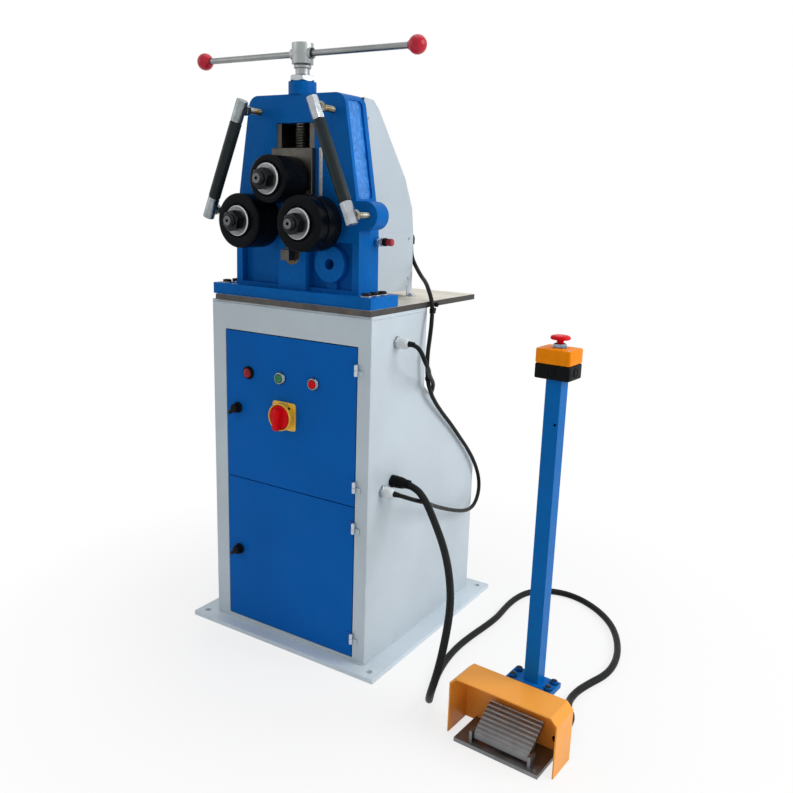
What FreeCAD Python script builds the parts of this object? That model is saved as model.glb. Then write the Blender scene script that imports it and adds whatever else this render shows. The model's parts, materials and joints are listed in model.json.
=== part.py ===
import FreeCAD, Part
import math
import os
import re

import Sketcher

# A floor-standing powered ring roller: three profile rolls on a cast head, a hand screw that
# presses the top roll down, side guide rollers, a sheet cabinet with a chain drive inside, and
# a foot-pedal station with a stop post. Millimetres. X runs to the machine's right as seen
# from the operator, Y runs away from the operator, Z is up. The origin is on the floor, in
# the middle of the four anchor holes. "Behind the front" below means measured in +Y from the
# cabinet's front face.

sizes = {
    # base plate and cabinet
    "base_width": 505, "base_depth": 536, "base_thick": 10,
    "anchor_edge_x": 22.5, "anchor_edge_y": 22, "anchor_hole_r": 7, "front_lap": 34,
    "cab_width": 415, "cab_top": 748, "cab_top_depth": 208, "cab_foot_depth": 465,
    "slope_top": 579, "slope_foot": 343, "wall": 2.5, "lip_depth": 19, "shelf_gap": 4,
    # doors, which share one opening in the front
    "door_edge_left": 38.5, "door_edge_right": 32.5, "door_gap": 2, "door_fold": 18, "door_skin": 1.5,
    "door_foot": 21, "door_split": 356.6, "door_top": 684.7, "door_proud": 0.5,
    "hinge_r": 4.5, "hinge_pin_r": 2.5, "hinge_half": 11, "hinge_leaf": 13, "hinge_inset": 44,
    "hinge_out": 5, "hinge_pin_out": 1.5, "hinge_play": 0.4, "leaf_thick": 3,
    "latch_inset": 32, "latch_drop": 168, "latch_r": 9, "latch_out": 14, "latch_wing": 22,
    "latch_wing_thick": 8.4, "latch_gap": 0.4, "stem_r": 4.5, "tongue_wide": 14.4,
    "tongue_thick": 3, "tongue_long": 46, "tongue_drop": 38, "tongue_gap": 2,
    # deck plate and chain slot
    "deck_thick": 12, "deck_front_lap": 6, "deck_depth": 431, "deck_inset": 15,
    "slot_width": 130, "slot_depth": 28, "chain_y": 113,
    # cast head; heights are above the deck
    "flange_inset": 3.5, "flange_ledge": 45, "flange_depth": 97, "flange_thick": 23, "bolt_offset": 22,
    "bolt_first_y": 18, "bolt_gap_y": 28, "bolt_head_r": 11, "bolt_head": 6, "bolt_r": 6,
    "deck_play": 0.5,
    "head_front": 24, "head_depth": 68, "waist_in": 2,
    "head_waist_z": 145, "shoulder_in": 9, "head_shoulder_z": 200,
    "head_top_half": 117, "head_top_z": 400, "head_corner_r": 24,
    "lug_out": 12, "lug_z": 175, "lug_r": 27, "lug_depth": 40,
    "window_half": 47.5, "window_foot_z": 195, "window_top_z": 347,
    "rail_width": 12.2, "rail_inset": 1, "gear_side": 3, "gear_air": 3,
    "side_pocket": 5, "pocket_front": 9,
    "pocket_rear": 56, "pocket_foot_z": 206, "pocket_top_z": 388, "pocket_round": 9,
    "front_recess": 16, "recess_inset": 17, "recess_foot": 30, "recess_top": 122,
    "pillar_half": 35, "pillar_out": 10, "boss_x": 88, "boss_z": 79, "boss_r": 36,
    "boss_out": 2, "boss_hole_r": 11, "web_half": 12, "web_back": 8, "screw_boss_r": 27.5,
    "screw_boss": 24,
    "screw_y": 46,
    # rolls and shafts
    "roll_gap_x": 151, "roll_z": 157, "top_roll_rise": 81, "pinion_z": 93,
    "lower_roll_r": 53, "top_roll_r": 45, "roll_front": -60, "roll_length": 69,
    "ring_front": 26, "ring_groove": 3, "groove_deep": 5, "roll_chamfer": 1.5,
    "seat_r": 17, "thread_r": 12, "journal_r": 15, "collar_r": 22, "run_fit": 0.05,
    "bush_wall": 5, "bush_length": 20, "washer_r": 29.5, "washer_thick": 5, "nut_af": 36,
    "nut_thick": 18, "shaft_tip": 8, "gear_teeth": 33, "gear_module": 3, "gear_face": 16,
    "square_af": 21, "square_out": 22, "bearing_plate": 12, "plate_fit": 0.3,
    # slide, screw and T-handle
    "slide_fit": 0.3, "slide_cover": 3.5, "slide_face": 11.6, "notch_gap": 1,
    "slide_foot_z": 211, "slide_height": 88, "slide_travel_gap": 0.4, "keeper_thick": 8,
    "screw_r": 14, "screw_collar_r": 18, "screw_collar": 7, "screw_ring_r": 22,
    "screw_ring": 5, "nut_bush_r": 22, "lock_af": 46, "lock_thick": 12, "neck": 21,
    "t_head_r": 21, "t_head": 38, "bar_r": 6, "bar_fit": 0.3, "bar_half": 260, "knob_r": 17,
    "sink_wide": 5, "sink_deep": 6, "bar_lip": 3.5, "bush_lift": 3, "collar_fit": 0.1,
    "collar_play": 0.4,
    # side guide rollers
    "guide_y": -33, "guide_top_in": 25.5, "guide_top_z": 369, "guide_low_out": 4,
    "guide_low_z": 176, "guide_roller_r": 12, "guide_roller": 157, "guide_rod_r": 6,
    "guide_block_r": 11.6, "guide_block": 44, "stud_r": 6, "stud_fit": 0.4, "stud_nut_af": 19,
    "stud_nut": 10, "stud_in": 18, "stud_sink": 6, "stud_bore": 46, "roller_fit": 0.4,
    "roller_gap": 0.5, "rod_in": 2, "nut_seat": 0.2,
    # rear cover, lubricator, scale
    "cover_half": 116, "cover_skin": 1.5, "cover_lift": 12, "cover_rear": 294,
    "cover_seam_in": 2, "cover_seam_z": 138, "cover_brow_in": 10, "cover_brow_z": 189,
    "cover_bend_in": 42, "cover_bend_z": 251, "cover_crown_in": 150, "cover_crown_z": 381,
    "cover_top_in": 170, "cover_top_drop": 4, "cover_tab": 16, "cover_tab_thick": 2,
    "cover_tab_first": 26, "cover_tab_second": 16, "cover_screw_r": 4, "cover_screw": 3,
    "cover_screw_out": 1,
    "scale_gap": 9, "scale_width": 8, "scale_height": 91, "scale_z": 209, "scale_thick": 1,
    "lube_y": 84, "lube_z": 125, "lube_r": 4, "lube_out": 38, "lube_nut_af": 16, "lube_nut": 8,
    "lube_nut_at": 1.5, "lube_washer_r": 9.6, "lube_washer": 1.5, "lube_washer_at": 13,
    "lube_ring_r": 8, "lube_ring": 6.4, "lube_ring_at": 17, "lube_cap_r": 7.2, "lube_cap": 12,
    # chain drive in the cabinet
    "sprocket_r": 49, "sprocket_thick": 8, "hub_r": 24, "hub_length": 18,
    "chain_clear": 0.6, "chain_tall": 7, "chain_wide": 11, "chain_open": 4,
    "drive_z": 200, "gearbox_y": 132, "gearbox_length": 96, "gearbox_half": 62,
    "nose_length": 10, "motor_r": 70, "motor_gap": 44.5, "motor_box_wide": 92,
    "motor_box_long": 80, "motor_box_tall": 34, "motor_box_from": 30, "motor_box_sunk": 6,
    "shaft_end_gap": 2,
    "stand_width": 180, "stand_wall": 5,
    # electrics
    "panel_y": 92, "panel_flange": 20, "panel_foot": 392, "panel_height": 270,
    "contactor_wide": 46, "contactor_deep": 52, "contactor_tall": 80, "contactor_pitch": 60,
    "contactor_rise": 150, "transformer_wide": 84, "transformer_deep": 56,
    "transformer_tall": 70, "transformer_rise": 30, "terminal_wide": 150, "terminal_deep": 28,
    "terminal_tall": 34,
    "controls_z": 598, "lamp_x": -105, "start_x": -18, "stop_x": 69.5, "bezel_r": 15,
    "bezel_out": 6, "button_r": 11, "button_out": 10, "button_depth": 22, "lens_r": 10.5,
    "lens_out": 4,
    "switch_x": -6.6, "switch_z": 519, "switch_plate": 64, "switch_ring_r": 27,
    "switch_plate_thick": 3, "switch_ring": 8, "switch_knob_r": 22, "switch_disc": 12,
    "switch_grip": 24, "grip_wide": 13.2, "grip_long": 50.6, "grip_up": 22, "knob_gap": 0.4,
    # cable entries on the right side
    "gland_r": 11, "gland_length": 28, "gland_nut_af": 24, "gland_nut": 9, "cable_r": 4.5,
    "gland_mouth_r": 8, "gland_cap": 2,
    "upper_gland_y": 92, "upper_gland_z": 688, "lower_gland_y": 54, "lower_gland_z": 383,
    "hose_r": 7.5, "hose_port_y": 90, "hose_port_z": 396, "hose_port_r": 13,
    "hose_port": 34, "hose_nut": 10, "hose_nut_rim": 1, "hose_wall": 4, "rear_gland_x": 120,
    "rear_gland_z": 150, "entry_fit": 0.4,
    "cover_port_in": 12, "cover_port_z": 890, "elbow_out": 11, "elbow_r": 7.5,
    "elbow_drop": 18,
    # foot-pedal station, turned a little about Z
    "station_x": 669, "station_y": -93, "station_turn": -3.6,
    "guard_width": 217, "guard_depth": 67, "guard_height": 115, "guard_skin": 3,
    "guard_fold": 13, "pedal_base_left": 192, "pedal_base_right": 22, "pedal_base_out": 17,
    "pedal_base_thick": 8, "treadle_left": 157, "treadle_width": 110, "treadle_front": -6,
    "treadle_rear": 54, "treadle_thick": 9, "treadle_low": 15, "treadle_high": 56,
    "pedal_pin_y": 0, "pedal_pin_z": 22, "pedal_pin_r": 4, "lug_thick": 6,
    "pedal_lug_wide": 20, "pedal_lug_top": 8, "pedal_lug_gap": 1, "treadle_nose": 14.4,
    "switch_box_long": 70, "switch_box_side": 26, "switch_box_in": 20, "switch_box_gap": 2,
    "base_hole_r": 4, "base_hole_in": 10, "base_hole_up": 9,
    "post_side": 28, "post_wall": 2.5, "post_height": 568, "post_u": -91, "post_v": 92,
    "foot_width": 91, "foot_deep": 42, "foot_thick": 5, "bracket_thick": 5, "bracket_gap": 1,
    "foot_edge_u": 10, "foot_edge_v": 9, "post_hole_r": 2.5, "post_hole_side": 8,
    "post_hole_drop": 79,
    "station_bolt": 5, "station_bolt_r": 4, "bolt_cap_r": 6.4, "bolt_long": 20,
    "hose_entry_u": -27, "hose_entry_z": 30, "hose_entry": 24,
    "box_width": 64, "box_deep": 54, "box_low": 25, "box_high": 26, "stop_collar_r": 11,
    "stop_collar": 8, "stop_gap": 5.5, "stop_head_r": 17, "stop_head": 8, "stop_stem_r": 6,
    "stop_stem_in": 10, "stop_stem_lap": 2, "box_wall": 3,
    # how far a cutting tool or a hidden overlap runs past its piece
    "over": 10,
}

# Routes of the cables and the hose, chosen point by point: x, distance behind the front, z.
cover_lead_route = [
    (104, 305, 872), (104, 305, 853), (111, 305, 834), (126, 298, 818), (147, 284, 804),
    (172, 266, 796), (198, 248, 785), (219, 229, 758), (226, 209, 727), (226, 198, 691),
    (226, 194, 654), (226, 195, 618), (225, 208, 582), (222, 238, 547), (219, 277, 510),
    (218, 321, 470), (217, 367, 430), (218, 412, 389), (219, 449, 348), (221, 472, 308),
    (223, 476, 276), (225, 464, 252), (228, 439, 239), (231, 408, 239), (234, 370, 248),
    (236, 326, 263), (239, 281, 281), (243, 236, 300), (250, 192, 320), (261, 152, 339),
    (274, 118, 354), (283, 90, 366), (274, 66, 376), (255, 54, 383), (235.5, 54, 383),
]
motor_lead_route = [
    (235.5, 92, 688), (254.5, 92, 688), (272, 95, 680), (283, 105, 665), (281, 122, 649),
    (273, 143, 636), (260, 167, 624), (249, 192, 612), (235, 216, 598), (217, 238, 582),
    (200, 259, 563), (184, 285, 536), (172, 318, 504), (164, 356, 468), (158, 397, 431),
    (152, 438, 393), (146, 471, 354), (139, 492, 313), (132, 502, 277), (127, 512, 250),
    (123, 524, 228), (121, 533.5, 208), (120, 538, 190), (120, 536, 172), (120, 526.5, 157.5),
    (120, 511, 150), (120, 493, 150),
]
hose_route = [
    (241.5, 90, 396), (272, 90, 396), (304, 82, 376), (338, 63, 344), (373, 36, 308),
    (403, 1, 270), (426, -38, 228), (436, -74, 176), (433, -92, 120), (416, -86, 66),
    (396, -52, 26), (370, 4, 8), (350, 62, 8), (337, 122, 8), (332, 184, 8), (335, 244, 8),
    (342, 304, 8), (346, 360, 8), (341, 418, 8), (341, 470, 8), (352, 522, 8),
    (384, 558, 8), (430, 574, 8), (480, 566, 8), (534, 535, 8), (580, 489, 8),
    (612, 434, 8), (634, 374, 8), (644, 316, 8), (641, 266, 8), (625, 220, 8), (612, 174, 8),
    (612, 128, 10), (626, 90, 18), (643, 60, 27), (649.5, 26.55, 30), (647.8, -0.45, 30),
]

doc = FreeCAD.newDocument("RingRoller")
dim = doc.addObject("Spreadsheet::Sheet", "dim")
for row, (alias, value) in enumerate(sizes.items(), start=1):
    dim.set(f"A{row}", alias)
    dim.set(f"B{row}", str(value))
    dim.setAlias(f"B{row}", alias)
doc.recompute()

nodes = {}

# Places that many pieces share, as expressions of the sheet's values.
front = "(front_lap - base_depth / 2)"
deck = "(cab_top + deck_thick)"
head_face = f"({front} + head_front)"
head_back = f"({front} + head_front + head_depth)"
flange_top = f"({deck} + flange_thick)"
slide_face_y = f"({head_face} - slide_travel_gap - slide_face)"
slide_foot = f"({deck} + slide_foot_z)"
slide_top = f"({slide_foot} + slide_height)"
top_axis = f"({deck} + roll_z + top_roll_rise)"
roll_face = f"({front} + roll_front)"
boss_top = f"({deck} + head_top_z + screw_boss)"
lock_top = f"({boss_top} + lock_thick)"
t_foot = f"({lock_top} + neck)"
bar_z = f"({t_foot} + t_head / 2)"
screw_axis = ("0", f"{front} + screw_y")
side_face = "(cab_width / 2)"
door_left = f"(door_edge_left - {side_face})"
door_right = f"({side_face} - door_edge_right)"
door_width = "(cab_width - door_edge_left - door_edge_right)"
latch_x = f"({door_left} + latch_inset)"
door_face = f"({front} - door_proud)"
hinge_x = f"({door_right} + door_gap)"
hinge_y = f"({front} - hinge_out)"
flange_half = f"({side_face} - flange_inset)"
foot_half = f"({flange_half} - flange_ledge)"
head_waist_half = f"({foot_half} - waist_in)"
head_shoulder_half = f"({foot_half} - shoulder_in)"
lug_x = f"({foot_half} + lug_out)"
guide_ends = {"top": ("(head_top_half - guide_top_in)", "guide_top_z"),
              "low": (f"({lug_x} + guide_low_out)", "guide_low_z")}
gear_tip = "(gear_teeth * gear_module / 2 + gear_module)"
gear_room_y = "(head_front + head_depth - bearing_plate - gear_face - 2 * gear_side)"
gear_room_half = f"(roll_gap_x / 2 + {gear_tip} + gear_air)"
gear_room_foot = f"(pinion_z - {gear_tip} - gear_air)"
gear_room_top = f"(roll_z + {gear_tip} + gear_air)"
slide_half = "(window_half - rail_width - slide_fit)"
slide_face_half = "(window_half + slide_cover)"
motor_length = "(cab_foot_depth - wall - gearbox_y - gearbox_length - motor_gap)"
cover_port_x = "(cover_half - cover_port_in)"
bend_drop = ("wall * tan(atan2(cab_foot_depth - cab_top_depth; slope_top - slope_foot) / 2)")


def named(expression):
    """Point each size name in an expression at its cell of the sheet."""
    def cell(match):
        word = match.group(0)
        return f"dim.{word}" if word in sizes else word
    return re.sub(r"[A-Za-z_][A-Za-z_0-9]*", cell, str(expression))


def bind(thing, **properties):
    for name, expression in properties.items():
        thing.setExpression(name, named(expression))
    return thing


def place(thing, at, axis=None, angle=None):
    """Bind the base point of a placement, after its turn if it has one."""
    turns = {"X": ((0, 1, 0), 90), "Y": ((1, 0, 0), -90), "Z": ((0, 0, 1), 0)}
    if axis:
        direction, degrees = turns[axis]
        thing.Placement.Rotation = FreeCAD.Rotation(FreeCAD.Vector(*direction), degrees)
    if angle:
        direction, expression = angle
        thing.Placement.Rotation = FreeCAD.Rotation(FreeCAD.Vector(*direction), 1)
        thing.setExpression("Placement.Rotation.Angle", named(expression))
    for letter, expression in zip("xyz", at):
        thing.setExpression(f"Placement.Base.{letter}", named(expression))
    return thing


def box(size, at, angle=None):
    solid = doc.addObject("Part::Box", "Block")
    bind(solid, Length=size[0], Width=size[1], Height=size[2])
    return place(solid, at, angle=angle)


def rod(radius, length, at, axis="Z", angle=None):
    solid = doc.addObject("Part::Cylinder", "Round")
    bind(solid, Radius=radius, Height=length)
    return place(solid, at, axis, angle)


def cone(low, high, length, at, axis="Z"):
    solid = doc.addObject("Part::Cone", "Taper")
    bind(solid, Radius1=low, Radius2=high, Height=length)
    return place(solid, at, axis)


def hexagon(across_flats, length, at, axis="Z", angle=None):
    solid = doc.addObject("Part::Prism", "Hexagon")
    solid.Polygon = 6
    bind(solid, Circumradius=f"({across_flats}) / (2 * cos(30))", Height=length)
    return place(solid, at, axis, angle)


def ball(radius, at):
    solid = doc.addObject("Part::Sphere", "Ball")
    bind(solid, Radius=radius)
    return place(solid, at)


def join(*solids):
    union = doc.addObject("Part::MultiFuse", "Joined")
    union.Shapes = list(solids)
    union.Refine = True
    return union


def group(*solids):
    """Separate solids of one kind, kept together in one node."""
    several = doc.addObject("Part::Compound", "Group")
    several.Links = list(solids)
    return several


def carve(base, *tools):
    cut = doc.addObject("Part::Cut", "Carved")
    cut.Base = base
    cut.Tool = tools[0] if len(tools) == 1 else join(*tools)
    cut.Refine = True
    return cut


def node(label, thing):
    thing.Label = label
    nodes[label] = thing
    return thing


def plane_of(body, role):
    return next(item for item in body.Origin.OriginFeatures if item.Role == role)


def outline(body, role, corners, circles=()):
    """A closed sketch whose corners and circle centres are all bound to the sheet."""
    sketch = body.newObject("Sketcher::SketchObject", "Outline")
    sketch.AttachmentSupport = [(plane_of(body, role), "")]
    sketch.MapMode = "FlatFace"
    count = len(corners)
    spots = [FreeCAD.Vector(10 * math.cos(2 * math.pi * i / max(count, 1)),
                            10 * math.sin(2 * math.pi * i / max(count, 1)), 0)
             for i in range(count)]
    for i in range(count):
        sketch.addGeometry(Part.LineSegment(spots[i], spots[(i + 1) % count]))
    for i in range(count):
        sketch.addConstraint(Sketcher.Constraint("Coincident", i, 2, (i + 1) % count, 1))
    for i, (across, up) in enumerate(corners):
        pin_point(sketch, i, 1, across, up)
    for across, up, radius in circles:
        ring = sketch.addGeometry(Part.Circle(FreeCAD.Vector(0, 0, 0),
                                              FreeCAD.Vector(0, 0, 1), 1))
        pin_point(sketch, ring, 3, across, up)
        spot = sketch.addConstraint(Sketcher.Constraint("Radius", ring, 1))
        sketch.setExpression(f"Constraints[{spot}]", named(radius))
    return sketch


def pin_point(sketch, edge, end, across, up):
    for kind, expression in (("DistanceX", across), ("DistanceY", up)):
        spot = sketch.addConstraint(Sketcher.Constraint(kind, -1, 1, edge, end, 1))
        sketch.setExpression(f"Constraints[{spot}]", named(expression))


def pad(role, corners, length, at, circles=(), backwards=False):
    """A body padded from one outline; role picks its plane."""
    body = doc.addObject("PartDesign::Body", "Plate")
    sketch = outline(body, role, corners, circles)
    feature = body.newObject("PartDesign::Pad", "Pad")
    feature.Profile = sketch
    feature.Reversed = backwards
    bind(feature, Length=length)
    place(body, at)
    return body


def turned(corners, at):
    """A body turned about the Y axis from an outline of (radius, distance along Y)."""
    body = doc.addObject("PartDesign::Body", "Turned")
    sketch = outline(body, "XY_Plane", corners)
    feature = body.newObject("PartDesign::Revolution", "Revolution")
    feature.Profile = sketch
    feature.ReferenceAxis = (sketch, ["V_Axis"])
    feature.Angle = 360
    place(body, at)
    return body


def rectangle(left, right, low, high):
    return [(left, low), (right, low), (right, high), (left, high)]


# ---------------------------------------------------------------- base plate and cabinet

def base_plate():
    half_x, half_y = "base_width / 2", "base_depth / 2"
    holes = [(f"{sx} * ({half_x} - anchor_edge_x)", f"{sy} * ({half_y} - anchor_edge_y)",
              "anchor_hole_r")
             for sx in (-1, 1) for sy in (-1, 1)]
    corners = rectangle(f"-{half_x}", half_x, f"-{half_y}", half_y)
    node("base_plate", pad("XY_Plane", corners, "base_thick", ("0", "0", "0"), holes))


def cabinet_front():
    """The front sheet, with a turned lip on the latch side of the door opening."""
    blank = box(("cab_width", "wall", "cab_top - base_thick"),
                ("-cab_width / 2", front, "base_thick"))
    opening = box((f"{door_width} + 2 * door_gap", "3 * wall", "door_top - door_foot + 2 * door_gap"),
                  (f"{door_left} - door_gap", f"{front} - wall", "door_foot - door_gap"))
    lip = box(("wall", "lip_depth", "door_top - door_foot + 2 * door_gap"),
              (f"{door_left} - door_gap - wall", front, "door_foot - door_gap"))
    node("cabinet_front", join(carve(blank, opening), lip))


def side_profile(inset):
    """The cabinet's side outline (distance behind the front, height)."""
    return [("wall", "base_thick"), (f"cab_foot_depth - {inset}", "base_thick"),
            (f"cab_foot_depth - {inset}", "slope_foot"),
            (f"cab_top_depth - {inset}", "slope_top"),
            (f"cab_top_depth - {inset}", "cab_top"), ("wall", "cab_top")]


def cabinet_sides():
    left = pad("YZ_Plane", side_profile("0"), "wall", (f"-{side_face}", front, "0"))
    ports = [("upper_gland_y", "upper_gland_z", "cable_r + entry_fit"),
             ("lower_gland_y", "lower_gland_z", "cable_r + entry_fit"),
             ("hose_port_y", "hose_port_z", "hose_r + entry_fit")]
    right = pad("YZ_Plane", side_profile("0"), "wall", (f"{side_face} - wall", front, "0"), ports)
    node("cabinet_sides", group(left, right))


def cabinet_back():
    strip = [("cab_top_depth", "cab_top"), ("cab_top_depth", "slope_top"),
             ("cab_foot_depth", "slope_foot"), ("cab_foot_depth", "base_thick"),
             ("cab_foot_depth - wall", "base_thick"),
             ("cab_foot_depth - wall", f"slope_foot - {bend_drop}"),
             ("cab_top_depth - wall", f"slope_top - {bend_drop}"),
             ("cab_top_depth - wall", "cab_top")]
    sheet = pad("YZ_Plane", strip, "cab_width - 2 * wall", (f"wall - {side_face}", front, "0"))
    port = rod("cable_r + entry_fit", "4 * wall",
               ("rear_gland_x", f"{front} + cab_foot_depth - 2 * wall", "rear_gland_z"), "Y")
    node("cabinet_back", carve(sheet, port))


def cabinet_shelf():
    shelf_front = "(wall + door_fold + shelf_gap)"
    blank = box(("cab_width - 2 * wall", f"cab_top_depth - wall - {shelf_front}", "wall"),
                (f"wall - {side_face}", f"{front} + {shelf_front}", "door_split - wall"))
    slot = box(("slot_width", "slot_depth", "4 * wall"),
               ("-slot_width / 2", f"{front} + chain_y - slot_depth / 2", "door_split - 2 * wall"))
    node("cabinet_shelf", carve(blank, slot))


def deck_plate():
    blank = box(("cab_width - deck_inset", "deck_depth", "deck_thick"),
                (f"deck_inset - {side_face}", f"{front} - deck_front_lap", "cab_top"))
    slot = box(("slot_width", "slot_depth", "3 * deck_thick"),
               ("-slot_width / 2", f"{front} + chain_y - slot_depth / 2", "cab_top - deck_thick"))
    bores = [rod("bolt_r + entry_fit", "3 * deck_thick", (x, y, "cab_top - deck_thick"))
             for x, y in bolt_spots()]
    node("deck_plate", carve(blank, slot, *bores))


# ---------------------------------------------------------------- doors and their fittings

def door_pan(foot, top):
    """A folded pan: a skin with turned edges, open towards the inside."""
    pan = box((door_width, "door_fold", f"({top}) - ({foot})"), (door_left, door_face, foot))
    room = box((f"{door_width} - 2 * door_skin", "door_fold", f"({top}) - ({foot}) - 2 * door_skin"),
               (f"{door_left} + door_skin", f"{door_face} + door_skin", f"({foot}) + door_skin"))
    return carve(pan, room)


def hinge_heights():
    return {"upper_door": ("door_top - hinge_inset", "door_split + hinge_inset"),
            "lower_door": ("door_split - hinge_inset", "door_foot + hinge_inset")}


def hinge_pins():
    """The lower half of each lift-off hinge, on the frame, with its pin."""
    fixed = []
    for heights in hinge_heights().values():
        for middle in heights:
            leaf = box(("hinge_leaf", "leaf_thick", "hinge_half"),
                       (hinge_x, f"{front} - leaf_thick", f"{middle} - hinge_half"))
            barrel = rod("hinge_r", "hinge_half", (hinge_x, hinge_y, f"{middle} - hinge_half"))
            pin = rod("hinge_pin_r", "2 * hinge_half + hinge_pin_out",
                      (hinge_x, hinge_y, f"{middle} - hinge_half"))
            fixed.append(join(leaf, barrel, pin))
    node("hinge_pins", group(*fixed))


def door_hinges(label):
    """The upper half of each hinge, on the door."""
    moving = []
    for middle in hinge_heights()[label]:
        start = f"{middle} + hinge_play"
        flap = box(("hinge_leaf", "leaf_thick", "hinge_half"),
                   (f"{hinge_x} - hinge_leaf", f"{door_face} - leaf_thick", start))
        knuckle = rod("hinge_r", "hinge_half", (hinge_x, hinge_y, start))
        bore = rod("hinge_pin_r + run_fit", "2 * hinge_half",
                   (hinge_x, hinge_y, f"{middle} - hinge_half / 2"))
        moving.append(carve(join(flap, knuckle), bore))
    return moving


def latch_heights():
    return {"upper_latch": "door_top - latch_drop", "lower_latch": "door_split - door_gap - latch_drop"}


def latches():
    """A wing knob outside, a stem through the door skin and a tongue behind it."""
    knob_face = f"({door_face} - latch_gap - latch_out)"
    for label, middle in latch_heights().items():
        hub = rod("latch_r", "latch_out", (latch_x, knob_face, middle), "Y")
        wing = box(("latch_wing", "latch_wing_thick", "latch_r"),
                   (f"{latch_x} - latch_wing", knob_face, f"{middle} - latch_r / 2"))
        stem = rod("stem_r", "door_fold + latch_out",
                   (latch_x, f"{door_face} - latch_out / 2", middle), "Y")
        tongue = box(("tongue_wide", "tongue_thick", "tongue_long"),
                     (f"{latch_x} - tongue_wide / 2", f"{door_face} + door_fold + tongue_gap",
                      f"{middle} - tongue_drop"))
        node(label, join(hub, wing, stem, tongue))


def latch_bores():
    return [rod("stem_r + entry_fit", "4 * door_skin",
                (latch_x, f"{door_face} - 2 * door_skin", middle), "Y")
            for middle in latch_heights().values()]


def doors():
    upper_bore, lower_bore = latch_bores()
    button_bores = [rod("button_r + entry_fit", "4 * door_skin",
                        (x, f"{door_face} - 2 * door_skin", "controls_z"), "Y")
                    for x in ("start_x", "stop_x")]
    knob_bore = rod("stem_r + entry_fit", "4 * door_skin",
                    ("switch_x", f"{door_face} - 2 * door_skin", "switch_z"), "Y")
    upper = carve(door_pan("door_split + door_gap / 2", "door_top"), upper_bore, knob_bore,
                  *button_bores)
    node("upper_door", group(upper, *door_hinges("upper_door")))
    lower = carve(door_pan("door_foot", "door_split - door_gap / 2"), lower_bore)
    node("lower_door", group(lower, *door_hinges("lower_door")))


def door_controls():
    lamp_rim = rod("bezel_r", "bezel_out", ("lamp_x", f"{door_face} - bezel_out", "controls_z"), "Y")
    lens = rod("lens_r", "bezel_out + lens_out",
               ("lamp_x", f"{door_face} - bezel_out - lens_out", "controls_z"), "Y")
    rims = [join(lamp_rim, lens)]
    for label, x in (("start_button", "start_x"), ("stop_button", "stop_x")):
        rim = rod("bezel_r", "bezel_out", (x, f"{door_face} - bezel_out", "controls_z"), "Y")
        hole = rod("button_r + entry_fit", "3 * bezel_out",
                   (x, f"{door_face} - 2 * bezel_out", "controls_z"), "Y")
        rims.append(carve(rim, hole))
        node(label, rod("button_r", "button_depth",
                        (x, f"{door_face} - button_out", "controls_z"), "Y"))
    plate = box(("switch_plate", "switch_plate_thick", "switch_plate"),
                ("switch_x - switch_plate / 2", f"{door_face} - switch_plate_thick",
                 "switch_z - switch_plate / 2"))
    ring = rod("switch_ring_r", "switch_ring",
               ("switch_x", f"{door_face} - switch_plate_thick - switch_ring", "switch_z"), "Y")
    bore = rod("stem_r + entry_fit", "6 * switch_ring",
               ("switch_x", f"{door_face} - 3 * switch_ring", "switch_z"), "Y")
    node("door_fittings", group(*rims, carve(join(plate, ring), bore)))
    knob_back = f"({door_face} - switch_plate_thick - switch_ring - knob_gap)"
    disc = rod("switch_knob_r", "switch_disc",
               ("switch_x", f"{knob_back} - switch_disc", "switch_z"), "Y")
    grip = box(("grip_wide", "switch_grip", "grip_long"),
               ("switch_x - grip_wide / 2", f"{knob_back} - switch_grip",
                "switch_z + grip_up - grip_long"))
    stem = rod("stem_r", "switch_grip + switch_ring",
               ("switch_x", f"{knob_back} - switch_grip / 2", "switch_z"), "Y")
    node("switch_knob", join(disc, grip, stem))


# ---------------------------------------------------------------- cast head

def bolt_spots():
    return [(f"{side} * ({foot_half} + bolt_offset)", f"{front} + bolt_first_y + {step} * bolt_gap_y")
            for side in (-1, 1) for step in range(3)]


def casting_fasteners():
    """The six flange bolts, and the lock nut of the screw's bush on the head's top."""
    bolts = []
    for x, y in bolt_spots():
        shank = rod("bolt_r", "flange_thick + deck_thick - deck_play", (x, y, "cab_top + deck_play"))
        cap = hexagon("2 * bolt_head_r", "bolt_head", (x, y, flange_top))
        bolts.append(join(shank, cap))
    nut = hexagon("lock_af", "lock_thick", (*screw_axis, boss_top))
    clear = rod("screw_r + run_fit", "2 * head_top_z", (*screw_axis, deck))
    node("casting_fasteners", group(*bolts, carve(nut, clear)))


def rounded(body, radius, chosen):
    """A body with a fillet along each edge whose two ends satisfy the rule chosen."""
    doc.recompute()
    blank = body.Tip
    edges = [f"Edge{i}" for i, edge in enumerate(blank.Shape.Edges, start=1)
             if chosen(edge.Vertexes[0].Point, edge.Vertexes[1].Point)]
    fillet = body.newObject("PartDesign::Fillet", "Corners")
    fillet.Base = (blank, edges)
    bind(fillet, Radius=radius)
    return body


def head_silhouette():
    blank = pad("XZ_Plane",
                [(f"-{foot_half}", "0"), (foot_half, "0"),
                 (head_waist_half, "head_waist_z"), (head_shoulder_half, "head_shoulder_z"),
                 ("head_top_half", "head_top_z"), ("-head_top_half", "head_top_z"),
                 (f"-{head_shoulder_half}", "head_shoulder_z"),
                 (f"-{head_waist_half}", "head_waist_z")],
                "head_depth", ("0", head_face, deck), backwards=True)
    top = sizes["head_top_z"]
    return rounded(blank, "head_corner_r", lambda a, b: max(abs(a.z - top), abs(b.z - top)) < 1
                   and abs(a.x - b.x) < 1)


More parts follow.
